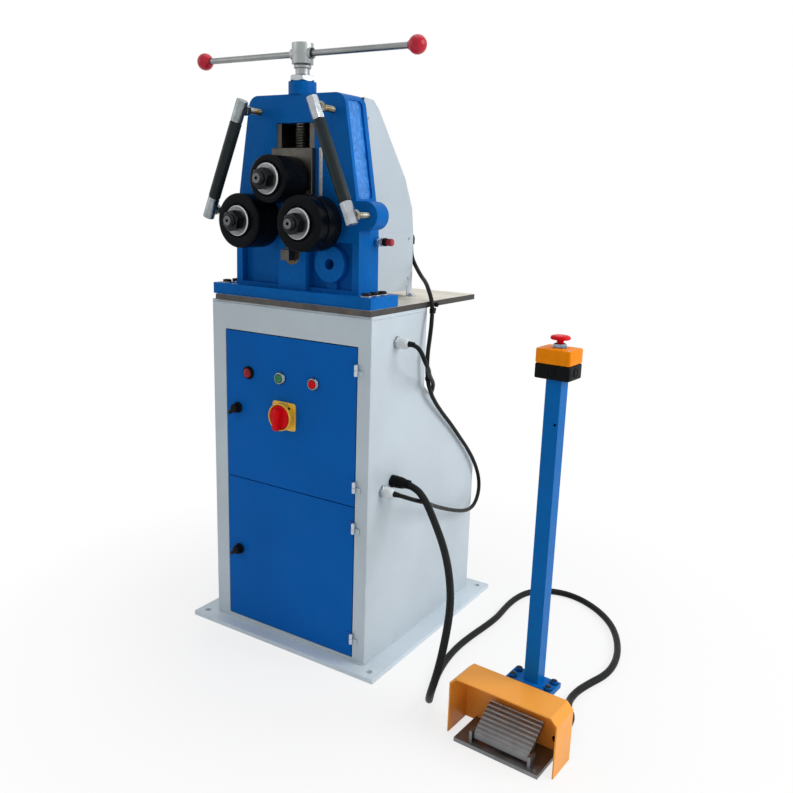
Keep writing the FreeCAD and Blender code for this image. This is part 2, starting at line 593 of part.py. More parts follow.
def side_pockets():
    """Shallow pockets between the front and rear flanges of the casting's sloping sides."""
    tools = []
    lean = f"(({head_shoulder_half} - head_top_half) / (head_top_z - head_shoulder_z))"
    for side in (-1, 1):
        low = f"{head_shoulder_half} - side_pocket - (pocket_foot_z - head_shoulder_z) * {lean}"
        high = f"{head_shoulder_half} - side_pocket - (pocket_top_z - head_shoulder_z) * {lean}"
        corners = [(f"{side} * ({low})", "pocket_foot_z"),
                   (f"{side} * ({head_shoulder_half} + side_pocket)", "pocket_foot_z"),
                   (f"{side} * ({head_shoulder_half} + side_pocket)", "pocket_top_z"),
                   (f"{side} * ({high})", "pocket_top_z")]
        blank = pad("XZ_Plane", corners, "pocket_rear - pocket_front",
                    ("0", f"{head_face} + pocket_front", deck), backwards=True)
        tools.append(rounded(blank, "pocket_round", lambda a, b: abs(a.z - b.z) < 1
                             and abs(a.y - b.y) < 1))
    return tools


def head_lugs():
    pieces = []
    for side in (-1, 1):
        pieces.append(rod("lug_r", "lug_depth",
                          (f"{side} * {lug_x}", head_face, f"{deck} + lug_z"), "Y"))
        pieces.append(box((f"{lug_x} - pillar_half", "lug_depth", "2 * lug_r"),
                          (f"{side} * ({lug_x} + pillar_half) / 2 - ({lug_x} - pillar_half) / 2",
                           head_face, f"{deck} + lug_z - lug_r")))
    return pieces


def front_recesses():
    """The two pockets low in the front, the right one holding a drilled boss on a web."""
    width = f"({foot_half} - recess_inset - pillar_half)"
    return [box((width, "front_recess + over", "recess_top - recess_foot"),
                (x, f"{head_face} - over", f"{deck} + recess_foot"))
            for x in (f"-{width} - pillar_half", "pillar_half")]


def frame_casting():
    flange = box((f"2 * {flange_half}", "flange_depth", "flange_thick"),
                 (f"-{flange_half}", front, deck))
    pillar = box(("2 * pillar_half", "pillar_out + front_recess", "recess_top - flange_thick"),
                 ("-pillar_half", f"{head_face} - pillar_out", flange_top))
    screw_boss = rod("screw_boss_r", "screw_boss", (*screw_axis, f"{deck} + head_top_z"))
    blank = carve(join(flange, head_silhouette(), *head_lugs()), *front_recesses(),
                  *side_pockets())
    boss = rod("boss_r", "front_recess + boss_out + over",
               ("boss_x", f"{head_face} - boss_out", f"{deck} + boss_z"), "Y")
    web = box(("2 * web_half", "front_recess - web_back + over", "boss_z - recess_foot + over"),
              ("boss_x - web_half", f"{head_face} + web_back", f"{deck} + recess_foot - over"))
    full = join(blank, pillar, screw_boss, boss, web)
    window = box(("2 * window_half", "head_depth + 2 * over", "window_top_z - window_foot_z"),
                 ("-window_half", f"{head_face} - over", f"{deck} + window_foot_z"))
    room = box((f"2 * {gear_room_half}", "head_depth", f"{gear_room_top} - {gear_room_foot}"),
               (f"-{gear_room_half}", f"{front} + {gear_room_y}", f"{deck} + {gear_room_foot}"))
    screw_bore = rod("nut_bush_r", "screw_boss + head_top_z - window_top_z + 2 * over",
                     (*screw_axis, f"{deck} + window_top_z - over"))
    shaft_bores = [rod("journal_r + bush_wall", "2 * head_depth",
                       (x, f"{head_face} - head_depth", f"{deck} + {z}"), "Y")
                   for x, z in shaft_axes()]
    boss_bore = rod("boss_hole_r", "head_depth",
                    ("boss_x", f"{head_face} - boss_out - over", f"{deck} + boss_z"), "Y")
    stud_bores = [rod("stud_r + stud_fit", "stud_bore + over",
                      (f"{side} * {x}", f"{head_face} - over", f"{deck} + {z}"), "Y")
                  for side in (-1, 1) for x, z in guide_ends.values()]
    bolt_bores = [rod("bolt_r + entry_fit", "3 * flange_thick", (x, y, f"{deck} - flange_thick"))
                  for x, y in bolt_spots()]
    node("frame_casting", carve(full, window, room, screw_bore, boss_bore, *shaft_bores,
                                *stud_bores, *bolt_bores))


def shaft_axes():
    """X and height above the deck of the two lower roll shafts and the pinion shaft."""
    return [("-roll_gap_x / 2", "roll_z"), ("roll_gap_x / 2", "roll_z"), ("0", "pinion_z")]


def bearing_plate():
    """The plate that closes the gear room and carries the rear bushes."""
    back = f"({head_back} - bearing_plate)"
    blank = box((f"2 * ({gear_room_half} - plate_fit)", "bearing_plate",
                 f"{gear_room_top} - {gear_room_foot} - 2 * plate_fit"),
                (f"plate_fit - {gear_room_half}", back,
                 f"{deck} + {gear_room_foot} + plate_fit"))
    notch = box((f"2 * ({slide_face_half} + notch_gap)", "3 * bearing_plate", gear_room_top),
                (f"-{slide_face_half} - notch_gap", f"{back} - bearing_plate",
                 f"{deck} + window_foot_z - notch_gap"))
    bores = [rod("journal_r + bush_wall", "3 * bearing_plate",
                 (x, f"{back} - bearing_plate", f"{deck} + {z}"), "Y")
             for x, z in shaft_axes()]
    node("bearing_plate", carve(blank, notch, *bores))


def bush(x, z, start, length):
    sleeve = rod("journal_r + bush_wall", length, (x, start, z), "Y")
    bore = rod("journal_r + run_fit", f"{length} + 2 * over", (x, f"{start} - over", z), "Y")
    return carve(sleeve, bore)


def frame_bushes():
    """The plain bushes of the three driven shafts, and the threaded bush of the screw."""
    fixed = []
    for x, z in shaft_axes():
        fixed.append(bush(x, f"{deck} + {z}", head_face if z == "roll_z"
                          else f"{head_face} - pillar_out", "bush_length"))
        fixed.append(bush(x, f"{deck} + {z}", f"{head_back} - bearing_plate", "bearing_plate"))
    sleeve = rod("nut_bush_r", "screw_boss + head_top_z - window_top_z - bush_lift",
                 (*screw_axis, f"{deck} + window_top_z + bush_lift"))
    thread = rod("screw_r + run_fit", "2 * head_top_z", (*screw_axis, deck))
    node("frame_bushes", group(*fixed, carve(sleeve, thread)))


def slide_rails():
    """Two guide rails in the window, relieved at the foot around the roll gears."""
    rails = [box(("rail_width", "head_depth - 2 * rail_inset",
                  "window_top_z - window_foot_z - 2 * rail_inset"),
                 (x, f"{head_face} + rail_inset", f"{deck} + window_foot_z + rail_inset"))
             for x in ("-window_half", "window_half - rail_width")]
    space = rod(f"{gear_tip} + gear_air", "head_depth",
                ("-roll_gap_x / 2", f"{front} + {gear_room_y}", f"{deck} + roll_z"), "Y")
    twin = rod(f"{gear_tip} + gear_air", "head_depth",
               ("roll_gap_x / 2", f"{front} + {gear_room_y}", f"{deck} + roll_z"), "Y")
    node("slide_rails", group(carve(rails[0], space), carve(rails[1], twin)))


def scale_strip():
    node("scale_strip", box(("scale_width", "scale_thick", "scale_height"),
                            (f"{slide_face_half} + scale_gap", f"{head_face} - scale_thick",
                             f"{deck} + scale_z")))


def lubricator():
    """A capped oiler on the right flank: stud, nut, washers, dark ring and red cap."""
    z = f"{deck} + lube_z"
    y = f"{front} + lube_y"
    face = f"({head_waist_half} + waist_in * (1 - lube_z / head_waist_z))"
    stem = rod("lube_r", "lube_out", (face, y, z), "X")
    nut = hexagon("lube_nut_af", "lube_nut", (f"{face} + lube_nut_at", y, z), "X")
    washer = rod("lube_washer_r", "lube_washer", (f"{face} + lube_washer_at", y, z), "X")
    ring = rod("lube_ring_r", "lube_ring", (f"{face} + lube_ring_at", y, z), "X")
    cap = rod("lube_cap_r", "lube_cap", (f"{face} + lube_out - lube_cap", y, z), "X")
    node("lubricator", join(stem, nut, washer, ring, cap))


# ---------------------------------------------------------------- slide, screw and handle

def slider():
    """The slide between the rails, with its bushes, rear keeper and the screw's keeper ring."""
    face = box((f"2 * {slide_face_half}", "slide_face", "slide_height"),
               (f"-{slide_face_half}", slide_face_y, slide_foot))
    tail_start = f"({slide_face_y} + slide_face)"
    keeper_face = f"({head_back} + slide_travel_gap)"
    tail = box((f"2 * {slide_half}", f"{keeper_face} - {tail_start}", "slide_height"),
               (f"-{slide_half}", tail_start, slide_foot))
    bore = rod("journal_r + bush_wall", "2 * head_depth",
               ("0", f"{slide_face_y} - over", top_axis), "Y")
    screw_hole = rod("screw_ring_r", "screw_ring + screw_collar + over",
                     (*screw_axis, f"{slide_top} - screw_ring - screw_collar"))
    rear_bush = bush("0", top_axis, f"{keeper_face} - bush_length", "bush_length")
    node("slider_block", group(carve(join(face, tail), bore, screw_hole),
                               bush("0", top_axis, slide_face_y, "bush_length"), rear_bush))
    keeper = box((f"2 * {slide_face_half}", "keeper_thick", "slide_height"),
                 (f"-{slide_face_half}", keeper_face, slide_foot))
    clear = rod("journal_r + entry_fit", "keeper_thick + 2 * over",
                ("0", f"{keeper_face} - over", top_axis), "Y")
    ring = rod("screw_ring_r", "screw_ring", (*screw_axis, f"{slide_top} - screw_ring"))
    hole = rod("screw_r + run_fit", "screw_ring + 2 * over",
               (*screw_axis, f"{slide_top} - screw_ring - over"))
    node("slide_keepers", group(carve(keeper, clear), carve(ring, hole)))


def spindle():
    """The pressing screw with its collar, and the T head bored for the bar."""
    foot = f"({slide_top} - screw_ring - screw_collar + collar_fit)"
    shank = rod("screw_r", f"{t_foot} + over - {foot}", (*screw_axis, foot))
    collar = rod("screw_collar_r", "screw_collar - collar_play", (*screw_axis, foot))
    head = rod("t_head_r", "t_head", (*screw_axis, t_foot))
    bore = rod("bar_r + bar_fit", "4 * t_head_r", ("-2 * t_head_r", screw_axis[1], bar_z), "X")
    lip = rod("bar_r + sink_wide", "2 * (t_head_r + bar_lip)",
              ("-t_head_r - bar_lip", screw_axis[1], bar_z), "X")
    mouth = "(t_head_r + bar_lip)"
    sinks = [cone("bar_r + sink_wide - 1", "bar_r", "sink_deep",
                  (f"-{mouth}", screw_axis[1], bar_z), "X"),
             cone("bar_r", "bar_r + sink_wide - 1", "sink_deep",
                  (f"{mouth} - sink_deep", screw_axis[1], bar_z), "X")]
    node("spindle", carve(join(shank, collar, head, lip), bore, *sinks))


def t_bar():
    """The sliding bar with a ball screwed on each end."""
    bar = rod("bar_r", "2 * bar_half", ("-bar_half", screw_axis[1], bar_z), "X")
    knobs = []
    for side in (-1, 1):
        sphere = ball("knob_r", (f"{side} * bar_half", screw_axis[1], bar_z))
        bore = rod("bar_r", "2 * bar_half", ("-bar_half", screw_axis[1], bar_z), "X")
        knobs.append(carve(sphere, bore))
    node("t_bar", group(bar, *knobs))


# ---------------------------------------------------------------- rolls, shafts and gears

def roll(label, radius, x, z, grooved):
    """A roll turned from two rings, with a groove between them on the lower rolls."""
    bore = "seat_r"
    chamfer = "roll_chamfer"
    corners = [(bore, "0"), (f"{radius} - {chamfer}", "0"), (radius, chamfer)]
    if grooved:
        corners += [(radius, "ring_front"), (f"{radius} - groove_deep", "ring_front"),
                    (f"{radius} - groove_deep", "ring_front + ring_groove"),
                    (radius, "ring_front + ring_groove")]
    corners += [(radius, f"roll_length - {chamfer}"), (f"{radius} - {chamfer}", "roll_length"),
                (bore, "roll_length")]
    node(label, turned(corners, (x, roll_face, z)))


def roll_fastening(label, x, z):
    washer = carve(rod("washer_r", "washer_thick", (x, f"{roll_face} - washer_thick", z), "Y"),
                   rod("thread_r", "4 * washer_thick", (x, f"{roll_face} - 2 * washer_thick", z),
                       "Y"))
    nut_face = f"({roll_face} - washer_thick - nut_thick)"
    nut = carve(hexagon("nut_af", "nut_thick", (x, nut_face, z), "Y"),
                rod("thread_r", "3 * nut_thick", (x, f"{nut_face} - nut_thick", z), "Y"))
    node(label, group(washer, nut))


def roll_shaft(label, x, z, collar_end, tail_end, *fixed):
    """Thread, roll seat, collar and journal on one axis along Y, and what is cut on them."""
    tip = f"({roll_face} - washer_thick - nut_thick - shaft_tip)"
    threaded = rod("thread_r", f"{roll_face} - {tip}", (x, tip, z), "Y")
    seat = rod("seat_r", "roll_length", (x, roll_face, z), "Y")
    collar = rod("collar_r", f"{collar_end} - ({roll_face} + roll_length)",
                 (x, f"{roll_face} + roll_length", z), "Y")
    journal = rod("journal_r", f"{tail_end} - ({collar_end})", (x, collar_end, z), "Y")
    node(label, join(threaded, seat, collar, journal, *fixed))


def shafts():
    low_z = f"{deck} + roll_z"
    pinion, wheels = gears()
    for side, x in (("left", "-roll_gap_x / 2"), ("right", "roll_gap_x / 2")):
        roll_shaft(f"{side}_shaft", x, low_z, f"({head_face} - slide_travel_gap)",
                   f"({head_back} + 8)", wheels[side])
        roll(f"{side}_roll", "lower_roll_r", x, low_z, True)
        roll_fastening(f"{side}_roll_nut", x, low_z)
    roll_shaft("top_shaft", "0", top_axis, f"({slide_face_y} - slide_travel_gap)",
               f"({head_back} + keeper_thick + 10)")
    roll("top_roll", "top_roll_r", "0", top_axis, False)
    roll_fastening("top_roll_nut", "0", top_axis)
    pinion_shaft(pinion)


def pinion_shaft(pinion):
    """A square end for a hand crank, the journal, the middle gear and the driven sprocket."""
    z = f"{deck} + pinion_z"
    pillar_face = f"({head_face} - pillar_out)"
    square = box(("square_af", "square_out + 2", "square_af"),
                 ("-square_af / 2", f"{pillar_face} - square_out", f"{z} - square_af / 2"))
    journal = rod("journal_r", f"{front} + chain_y + sprocket_thick - {pillar_face}",
                  ("0", pillar_face, z), "Y")
    node("pinion_shaft", join(square, journal, pinion, *sprocket(z)))


def gear_wheel(x, z, tooth_turn):
    """A spur gear with straight-flanked teeth, turned by a share of one tooth."""
    teeth, module = int(dim.gear_teeth), float(dim.gear_module)
    pitch_r = teeth * module / 2
    root_r, tip_r = pitch_r - 1.25 * module, pitch_r + 0.9 * module
    step = 2 * math.pi / teeth
    corners = []
    for tooth in range(teeth):
        middle = (tooth + tooth_turn) * step
        for radius, share in ((root_r, -0.33), (tip_r, -0.12), (tip_r, 0.12), (root_r, 0.33)):
            angle = middle + share * step
            corners.append(FreeCAD.Vector(radius * math.cos(angle), 0, radius * math.sin(angle)))
    face = Part.Face(Part.makePolygon(corners + corners[:1]))
    gear = doc.addObject("Part::Feature", "Gear")
    gear.Shape = face.extrude(FreeCAD.Vector(0, float(dim.gear_face), 0))
    return place(gear, (x, f"{front} + {gear_room_y} + gear_side", z))


def gears():
    """The pinion between two equal gears; each gap of the gears faces a pinion tooth."""
    down = math.atan2(float(dim.roll_z) - float(dim.pinion_z), float(dim.roll_gap_x) / 2)
    step = 2 * math.pi / int(dim.gear_teeth)
    to_right = down / step
    to_left = (math.pi - down) / step
    from_right = (math.pi + down) / step
    from_left = -down / step
    shift = (to_right - to_left) % 1
    roll_z = f"{deck} + roll_z"
    pinion = gear_wheel("0", f"{deck} + pinion_z", to_right % 1)
    return pinion, {
        "right": gear_wheel("roll_gap_x / 2", roll_z, (from_right + 0.5) % 1),
        "left": gear_wheel("-roll_gap_x / 2", roll_z, (from_left + 0.5 - shift) % 1)}


# ---------------------------------------------------------------- side guide rollers

def guides():
    (top_x, top_z), (low_x, low_z) = guide_ends["top"], guide_ends["low"]
    lean = f"atan(({low_x} - {top_x}) / ({top_z} - {low_z}))"
    y = f"({front} + guide_y)"
    for side, name in ((-1, "left"), (1, "right")):
        turn = ((0, 1, 0), f"{-side} * {lean}")
        middle_x = f"({side} * ({top_x} + {low_x}) / 2)"
        middle_z = f"({deck} + ({top_z} + {low_z}) / 2)"

        def along(distance):
            """The point of the slanting axis at this distance above its middle."""
            return (f"{middle_x} - {side} * ({distance}) * sin({lean})", y,
                    f"{middle_z} + ({distance}) * cos({lean})")

        blocks = [hexagon("2 * guide_block_r * cos(30)", "guide_block", along(start), angle=turn)
                  for start in ("guide_roller / 2 + roller_gap",
                                "-guide_roller / 2 - guide_block - roller_gap")]
        inner = rod("guide_rod_r", "guide_roller + 2 * rod_in",
                    along("-guide_roller / 2 - rod_in"), angle=turn)
        spots = [(f"{side} * {x}", f"{deck} + {z}") for x, z in guide_ends.values()]
        holes = [rod("stud_r", "4 * guide_block_r", (x, f"{y} - stud_sink", z), "Y")
                 for x, z in spots]
        bar = carve(join(*blocks, inner), *holes)
        tube = rod("guide_roller_r", "guide_roller", along("-guide_roller / 2"), angle=turn)
        hole = rod("guide_rod_r + roller_fit", "guide_roller + 2 * over",
                   along("-guide_roller / 2 - over"), angle=turn)
        node(f"{name}_guide_roller", carve(tube, hole))
        fastenings = []
        for x, z in spots:
            tip = f"({y} - stud_sink)"
            fastenings.append(rod("stud_r", f"{head_face} + stud_in - {tip}", (x, tip, z), "Y"))
            nut = hexagon("stud_nut_af", "stud_nut",
                          (x, f"{y} + guide_block_r + nut_seat", z), "Y")
            fastenings.append(carve(nut, rod("stud_r", "4 * stud_nut",
                                             (x, f"{y} + guide_block_r - stud_nut", z), "Y")))
        node(f"{name}_guide_bar", group(bar, *fastenings))


# ---------------------------------------------------------------- rear cover

def cover_profile(skin):
    """Side outline of the rear cover, moved inwards by the skin: behind the front, height."""
    bends = [("cover_seam_in", "cover_seam_z"), ("cover_brow_in", "cover_brow_z"),
             ("cover_bend_in", "cover_bend_z"), ("cover_crown_in", "cover_crown_z"),
             ("cover_top_in", "head_top_z - cover_top_drop")]
    outline_points = [("head_front + head_depth", f"{deck} + cover_lift"),
                      (f"cover_rear - {skin}", f"{deck} + cover_lift")]
    outline_points += [(f"cover_rear - {inset} - {skin}", f"{deck} + {z} - {skin}")
                       for inset, z in bends]
    return outline_points + [("head_front + head_depth",
                              f"{deck} + head_top_z - cover_top_drop / 2 - {skin}")]


def rear_cover():
    """Two side sheets, notched over the head's flange, and the bent sheet between them."""
    inside = "(cover_half - cover_skin)"
    relief = box(("2 * (cover_half + over)", "flange_depth - head_front - head_depth + plate_fit",
                  "flange_thick + plate_fit"), ("-cover_half - over", head_back, deck))
    left, right = [carve(pad("YZ_Plane", cover_profile("0"), "cover_skin", (x, front, "0")), relief)
                   for x in ("-cover_half", inside)]
    node("cover_sides", group(left, right, *cover_brackets()))
    outer, inner = [pad("YZ_Plane", cover_profile(skin), f"2 * {inside}",
                        (f"-{inside}", front, "0")) for skin in ("0", "cover_skin")]
    port = rod("cable_r + entry_fit", "2 * over",
               (cover_port_x, f"{front} + cover_rear - over", "cover_port_z"), "Y")
    node("cover_wrap", carve(outer, inner, port))


def cover_brackets():
    """Four angle feet, each with its screw, that hold the cover off the deck."""
    brackets = []
    thick = "cover_tab_thick"
    for side in (-1, 1):
        for y in ("head_front + head_depth + cover_tab_first", "cover_rear - cover_tab_second"):
            near = f"{front} + {y} - cover_tab / 2"
            foot = box(("cover_tab", "cover_tab", thick),
                       (f"{side} * (cover_half + cover_tab / 2) - cover_tab / 2", near, deck))
            upright = box((thick, "cover_tab", "2 * cover_lift"),
                          (f"{side} * (cover_half + {thick} / 2) - {thick} / 2", near, deck))
            screw = rod("cover_screw_r", "cover_screw + cover_tab_thick",
                        (f"{side} * (cover_half + cover_tab / 2 + cover_screw_out)",
                         f"{front} + {y}", deck))
            brackets.append(join(foot, upright, screw))
    return brackets


# ---------------------------------------------------------------- chain drive and electrics

def sprocket(z):
    y = f"({front} + chain_y - sprocket_thick / 2)"
    disc = rod("sprocket_r", "sprocket_thick", ("0", y, z), "Y")
    hub = rod("hub_r", "hub_length", ("0", f"{y} + sprocket_thick - hub_length", z), "Y")
    return disc, hub


def drive_chain():
    rise = f"({deck} + pinion_z - drive_z)"
    loops = []
    for radius, wide in (("(sprocket_r + chain_clear + chain_tall)", "chain_wide"),
                         ("(sprocket_r + chain_clear)", "chain_wide + chain_open")):
        start = f"{front} + chain_y - ({wide}) / 2"
        loops.append(join(rod(radius, wide, ("0", start, "drive_z"), "Y"),
                          rod(radius, wide, ("0", start, f"drive_z + {rise}"), "Y"),
                          box((f"2 * {radius}", wide, rise), (f"-{radius}", start, "drive_z"))))
    node("drive_chain", carve(loops[0], loops[1]))


def drive_unit():
    """A gear unit and motor in line on a stand, under the shelf."""
    y = f"({front} + gearbox_y)"
    stand_top = "(drive_z - gearbox_half)"
    stand_top_length = f"gearbox_length + {motor_length} / 2"
    blank = box(("stand_width", stand_top_length, f"{stand_top} - base_thick"),
                ("-stand_width / 2", y, "base_thick"))
    room = box(("stand_width - 2 * stand_wall", f"2 * ({stand_top_length})",
                f"{stand_top} - base_thick - stand_wall"),
               ("stand_wall - stand_width / 2", f"{y} - over", "base_thick"))
    node("motor_stand", carve(blank, room))
    case = box(("2 * gearbox_half", "gearbox_length", "2 * gearbox_half"),
               ("-gearbox_half", y, stand_top))
    nose = rod("hub_r", "nose_length", ("0", f"{y} - nose_length", "drive_z"), "Y")
    bore = rod("journal_r + run_fit", "gearbox_length / 2 + 2 * nose_length",
               ("0", f"{y} - 2 * nose_length", "drive_z"), "Y")
    motor_y = f"({y} + gearbox_length)"
    barrel = rod("motor_r", motor_length, ("0", motor_y, "drive_z"), "Y")
    terminal = box(("motor_box_wide", "motor_box_long", "motor_box_tall"),
                   ("-motor_box_wide / 2", f"{motor_y} + motor_box_from",
                    "drive_z + motor_r - motor_box_sunk"))
    relief = box(("2 * motor_r", motor_length, "motor_r"),
                 ("-motor_r", motor_y, f"{stand_top} - motor_r"))
    node("gear_motor", join(carve(join(case, nose), bore), carve(join(barrel, terminal), relief)))
    shaft_start = f"({front} + chain_y + sprocket_thick / 2 - hub_length)"
    shaft = rod("journal_r", f"{y} + gearbox_length / 2 - shaft_end_gap - {shaft_start}",
                ("0", shaft_start, "drive_z"), "Y")
    node("drive_sprocket", join(*sprocket("drive_z"), shaft))


def electric_panel():
    """A sheet with turned ends between the cabinet's sides, and the devices on its front."""
    y = f"({front} + panel_y)"
    span = "(cab_width - 2 * wall)"
    left = f"(-{span} / 2)"
    plate = box((span, "wall", "panel_height"), (left, y, "panel_foot"))
    ends = [box(("wall", "panel_flange", "panel_height"), (x, y, "panel_foot"))
            for x in (left, f"{span} / 2 - wall")]
    first = "(-1.5 * contactor_pitch - contactor_wide / 2)"
    devices = [box(("contactor_wide", "contactor_deep", "contactor_tall"),
                   (f"{first} + {i} * contactor_pitch", f"{y} - contactor_deep",
                    "panel_foot + contactor_rise"))
               for i in range(3)]
    transformer = box(("transformer_wide", "transformer_deep", "transformer_tall"),
                      ("transformer_wide / 2", f"{y} - transformer_deep",
                       "panel_foot + transformer_rise"))
    terminals = box(("terminal_wide", "terminal_deep", "terminal_tall"),
                    ("-terminal_wide", f"{y} - terminal_deep", "panel_foot + transformer_rise"))
    node("electric_panel", join(plate, *ends, *devices, transformer, terminals))


# ---------------------------------------------------------------- cable entries and cables

def gland(x, y, z, axis):
    """A hexagon on the panel, a dome nut and a bore for the cable."""
    dome_start = {"X": (f"{x} + gland_nut", y, z), "Y": (x, f"{y} + gland_nut", z)}[axis]
    nut = hexagon("gland_nut_af", "gland_nut", (x, y, z), axis)
    dome = cone("gland_r", "gland_mouth_r", "gland_length - gland_nut", dome_start, axis)
    bore = rod("cable_r", "gland_length - gland_cap", (x, y, z), axis)
    return carve(join(nut, dome), bore)


def cable_entries():
    """Glands for the two leads, and the plastic fittings of the hose and of the rear cover."""
    node("cable_glands", group(
        gland(side_face, f"{front} + upper_gland_y", "upper_gland_z", "X"),
        gland(side_face, f"{front} + lower_gland_y", "lower_gland_z", "X"),
        gland("rear_gland_x", f"{front} + cab_foot_depth", "rear_gland_z", "Y")))
    port = (side_face, f"{front} + hose_port_y", "hose_port_z")
    body = join(hexagon("2 * hose_port_r", "hose_nut", port, "X"),
                rod("hose_port_r - hose_nut_rim", "hose_port", port, "X"))
    bore = rod("hose_r", "hose_port - gland_cap", port, "X")
    y = f"({front} + cover_rear)"
    elbow = join(rod("elbow_r", "elbow_out", (cover_port_x, y, "cover_port_z"), "Y"),
                 ball("elbow_r", (cover_port_x, f"{y} + elbow_out", "cover_port_z")),
                 rod("elbow_r", "elbow_drop",
                     (cover_port_x, f"{y} + elbow_out", "cover_port_z - elbow_drop")))
    flange = station_rod("hose_r + hose_wall", "hose_entry", "hose_entry_u", "guard_depth",
                         "hose_entry_z", True)
    flange_bore = station_rod("hose_r", "hose_entry - gland_cap", "hose_entry_u", "guard_depth",
                              "hose_entry_z", True)
    node("hose_fittings", group(carve(body, bore), elbow, carve(flange, flange_bore)))


def station_point(u, v, z):
    """A point of the pedal station: u to its right, v to its back, both from its front right."""
    return (f"station_x + ({u}) * cos(station_turn) - ({v}) * sin(station_turn)",
            f"{front} + station_y + ({u}) * sin(station_turn) + ({v}) * cos(station_turn)", z)


turn_z = ((0, 0, 1), "station_turn")


def station_box(size, u, v, z):
    return box(size, station_point(u, v, z), angle=turn_z)


def station_rod_z(radius, length, u, v, z):
    return rod(radius, length, station_point(u, v, z))


def lay_across(solid, radius, length, u, v, z, along_v):
    """Turn a round so that it runs along u, or along v, of the pedal station."""
    bind(solid, Radius=radius, Height=length)
    flat = FreeCAD.Rotation(FreeCAD.Vector(0, 1, 0), 90)
    heading = float(dim.station_turn) + (90 if along_v else 0)
    solid.Placement.Rotation = FreeCAD.Rotation(FreeCAD.Vector(0, 0, 1), heading) * flat
    return place(solid, station_point(u, v, z))


def station_rod(radius, length, u, v, z, along_v=False):
    solid = doc.addObject("Part::Cylinder", "Round")
    return lay_across(solid, radius, length, u, v, z, along_v)


def station_pad(corners, length, u, v):
    """A body padded along v from an outline of u and z."""
    body = pad("XZ_Plane", corners, length, station_point(u, v, "0"), backwards=True)
    body.Placement.Rotation = FreeCAD.Rotation(FreeCAD.Vector(0, 0, 1), 1)
    body.setExpression("Placement.Rotation.Angle", named("station_turn"))
    return body


def pedal_guard():
    outer = [("-guard_width", "0"), ("0", "0"), ("0", "guard_height - guard_fold"),
             ("-guard_fold", "guard_height"), ("guard_fold - guard_width", "guard_height"),
             ("-guard_width", "guard_height - guard_fold")]
    bend = "(guard_skin * tan(22.5))"
    inner = [("guard_skin - guard_width", "-guard_skin"), ("-guard_skin", "-guard_skin"),
             ("-guard_skin", f"guard_height - guard_fold - {bend}"),
             (f"-guard_fold - {bend}", "guard_height - guard_skin"),
             (f"guard_fold - guard_width + {bend}", "guard_height - guard_skin"),
             ("guard_skin - guard_width", f"guard_height - guard_fold - {bend}")]
    shell = station_pad(outer, "guard_depth", "0", "0")
    room = station_pad(inner, "guard_depth", "0", "-guard_skin")
    port = station_rod("hose_r + entry_fit", "5 * guard_skin", "hose_entry_u",
                       "guard_depth - 3 * guard_skin", "hose_entry_z", True)
    node("pedal_guard", carve(shell, room, port))


def pedal_base():
    plate = station_box(("pedal_base_left - pedal_base_right", "guard_depth - guard_skin"
                         " + pedal_base_out", "pedal_base_thick"),
                        "-pedal_base_left", "-pedal_base_out", "0")
    pin_start = "-treadle_left - lug_thick - pedal_lug_gap"
    lugs = [station_box(("lug_thick", "pedal_lug_wide",
                         "pedal_pin_z + pedal_lug_top - pedal_base_thick / 2"), u,
                        "pedal_pin_y - pedal_lug_wide / 2", "pedal_base_thick / 2")
            for u in (pin_start, "treadle_width - treadle_left + pedal_lug_gap")]
    pin = station_rod("pedal_pin_r", "treadle_width + 2 * (lug_thick + pedal_lug_gap)",
                      pin_start, "pedal_pin_y", "pedal_pin_z")
    switch = station_box(("switch_box_long", "switch_box_side", "switch_box_side"),
                         "switch_box_in - treadle_left",
                         "guard_depth - guard_skin - switch_box_gap - switch_box_side",
                         "pedal_base_thick")
    hole = station_rod_z("base_hole_r", "pedal_base_thick + 2 * over",
                         "-pedal_base_right - base_hole_in", "base_hole_up - pedal_base_out",
                         "-over")
    node("pedal_base", carve(join(plate, *lugs, pin, switch), hole))


def foot_pedal():
    """A wedge-shaped treadle: low where the heel rests, high under the guard."""
    corners = [("treadle_front", "treadle_low"), ("treadle_rear", "treadle_high"),
               ("treadle_rear", "treadle_high + treadle_thick"),
               ("treadle_front", "treadle_low + treadle_nose")]
    body = pad("YZ_Plane", corners, "treadle_width", station_point("-treadle_left", "0", "0"))
    body.Placement.Rotation = FreeCAD.Rotation(FreeCAD.Vector(0, 0, 1), 1)
    body.setExpression("Placement.Rotation.Angle", named("station_turn"))
    bore = station_rod("pedal_pin_r + run_fit", "2 * guard_width", "-1.5 * guard_width",
                       "pedal_pin_y", "pedal_pin_z")
    node("foot_pedal", carve(body, bore))


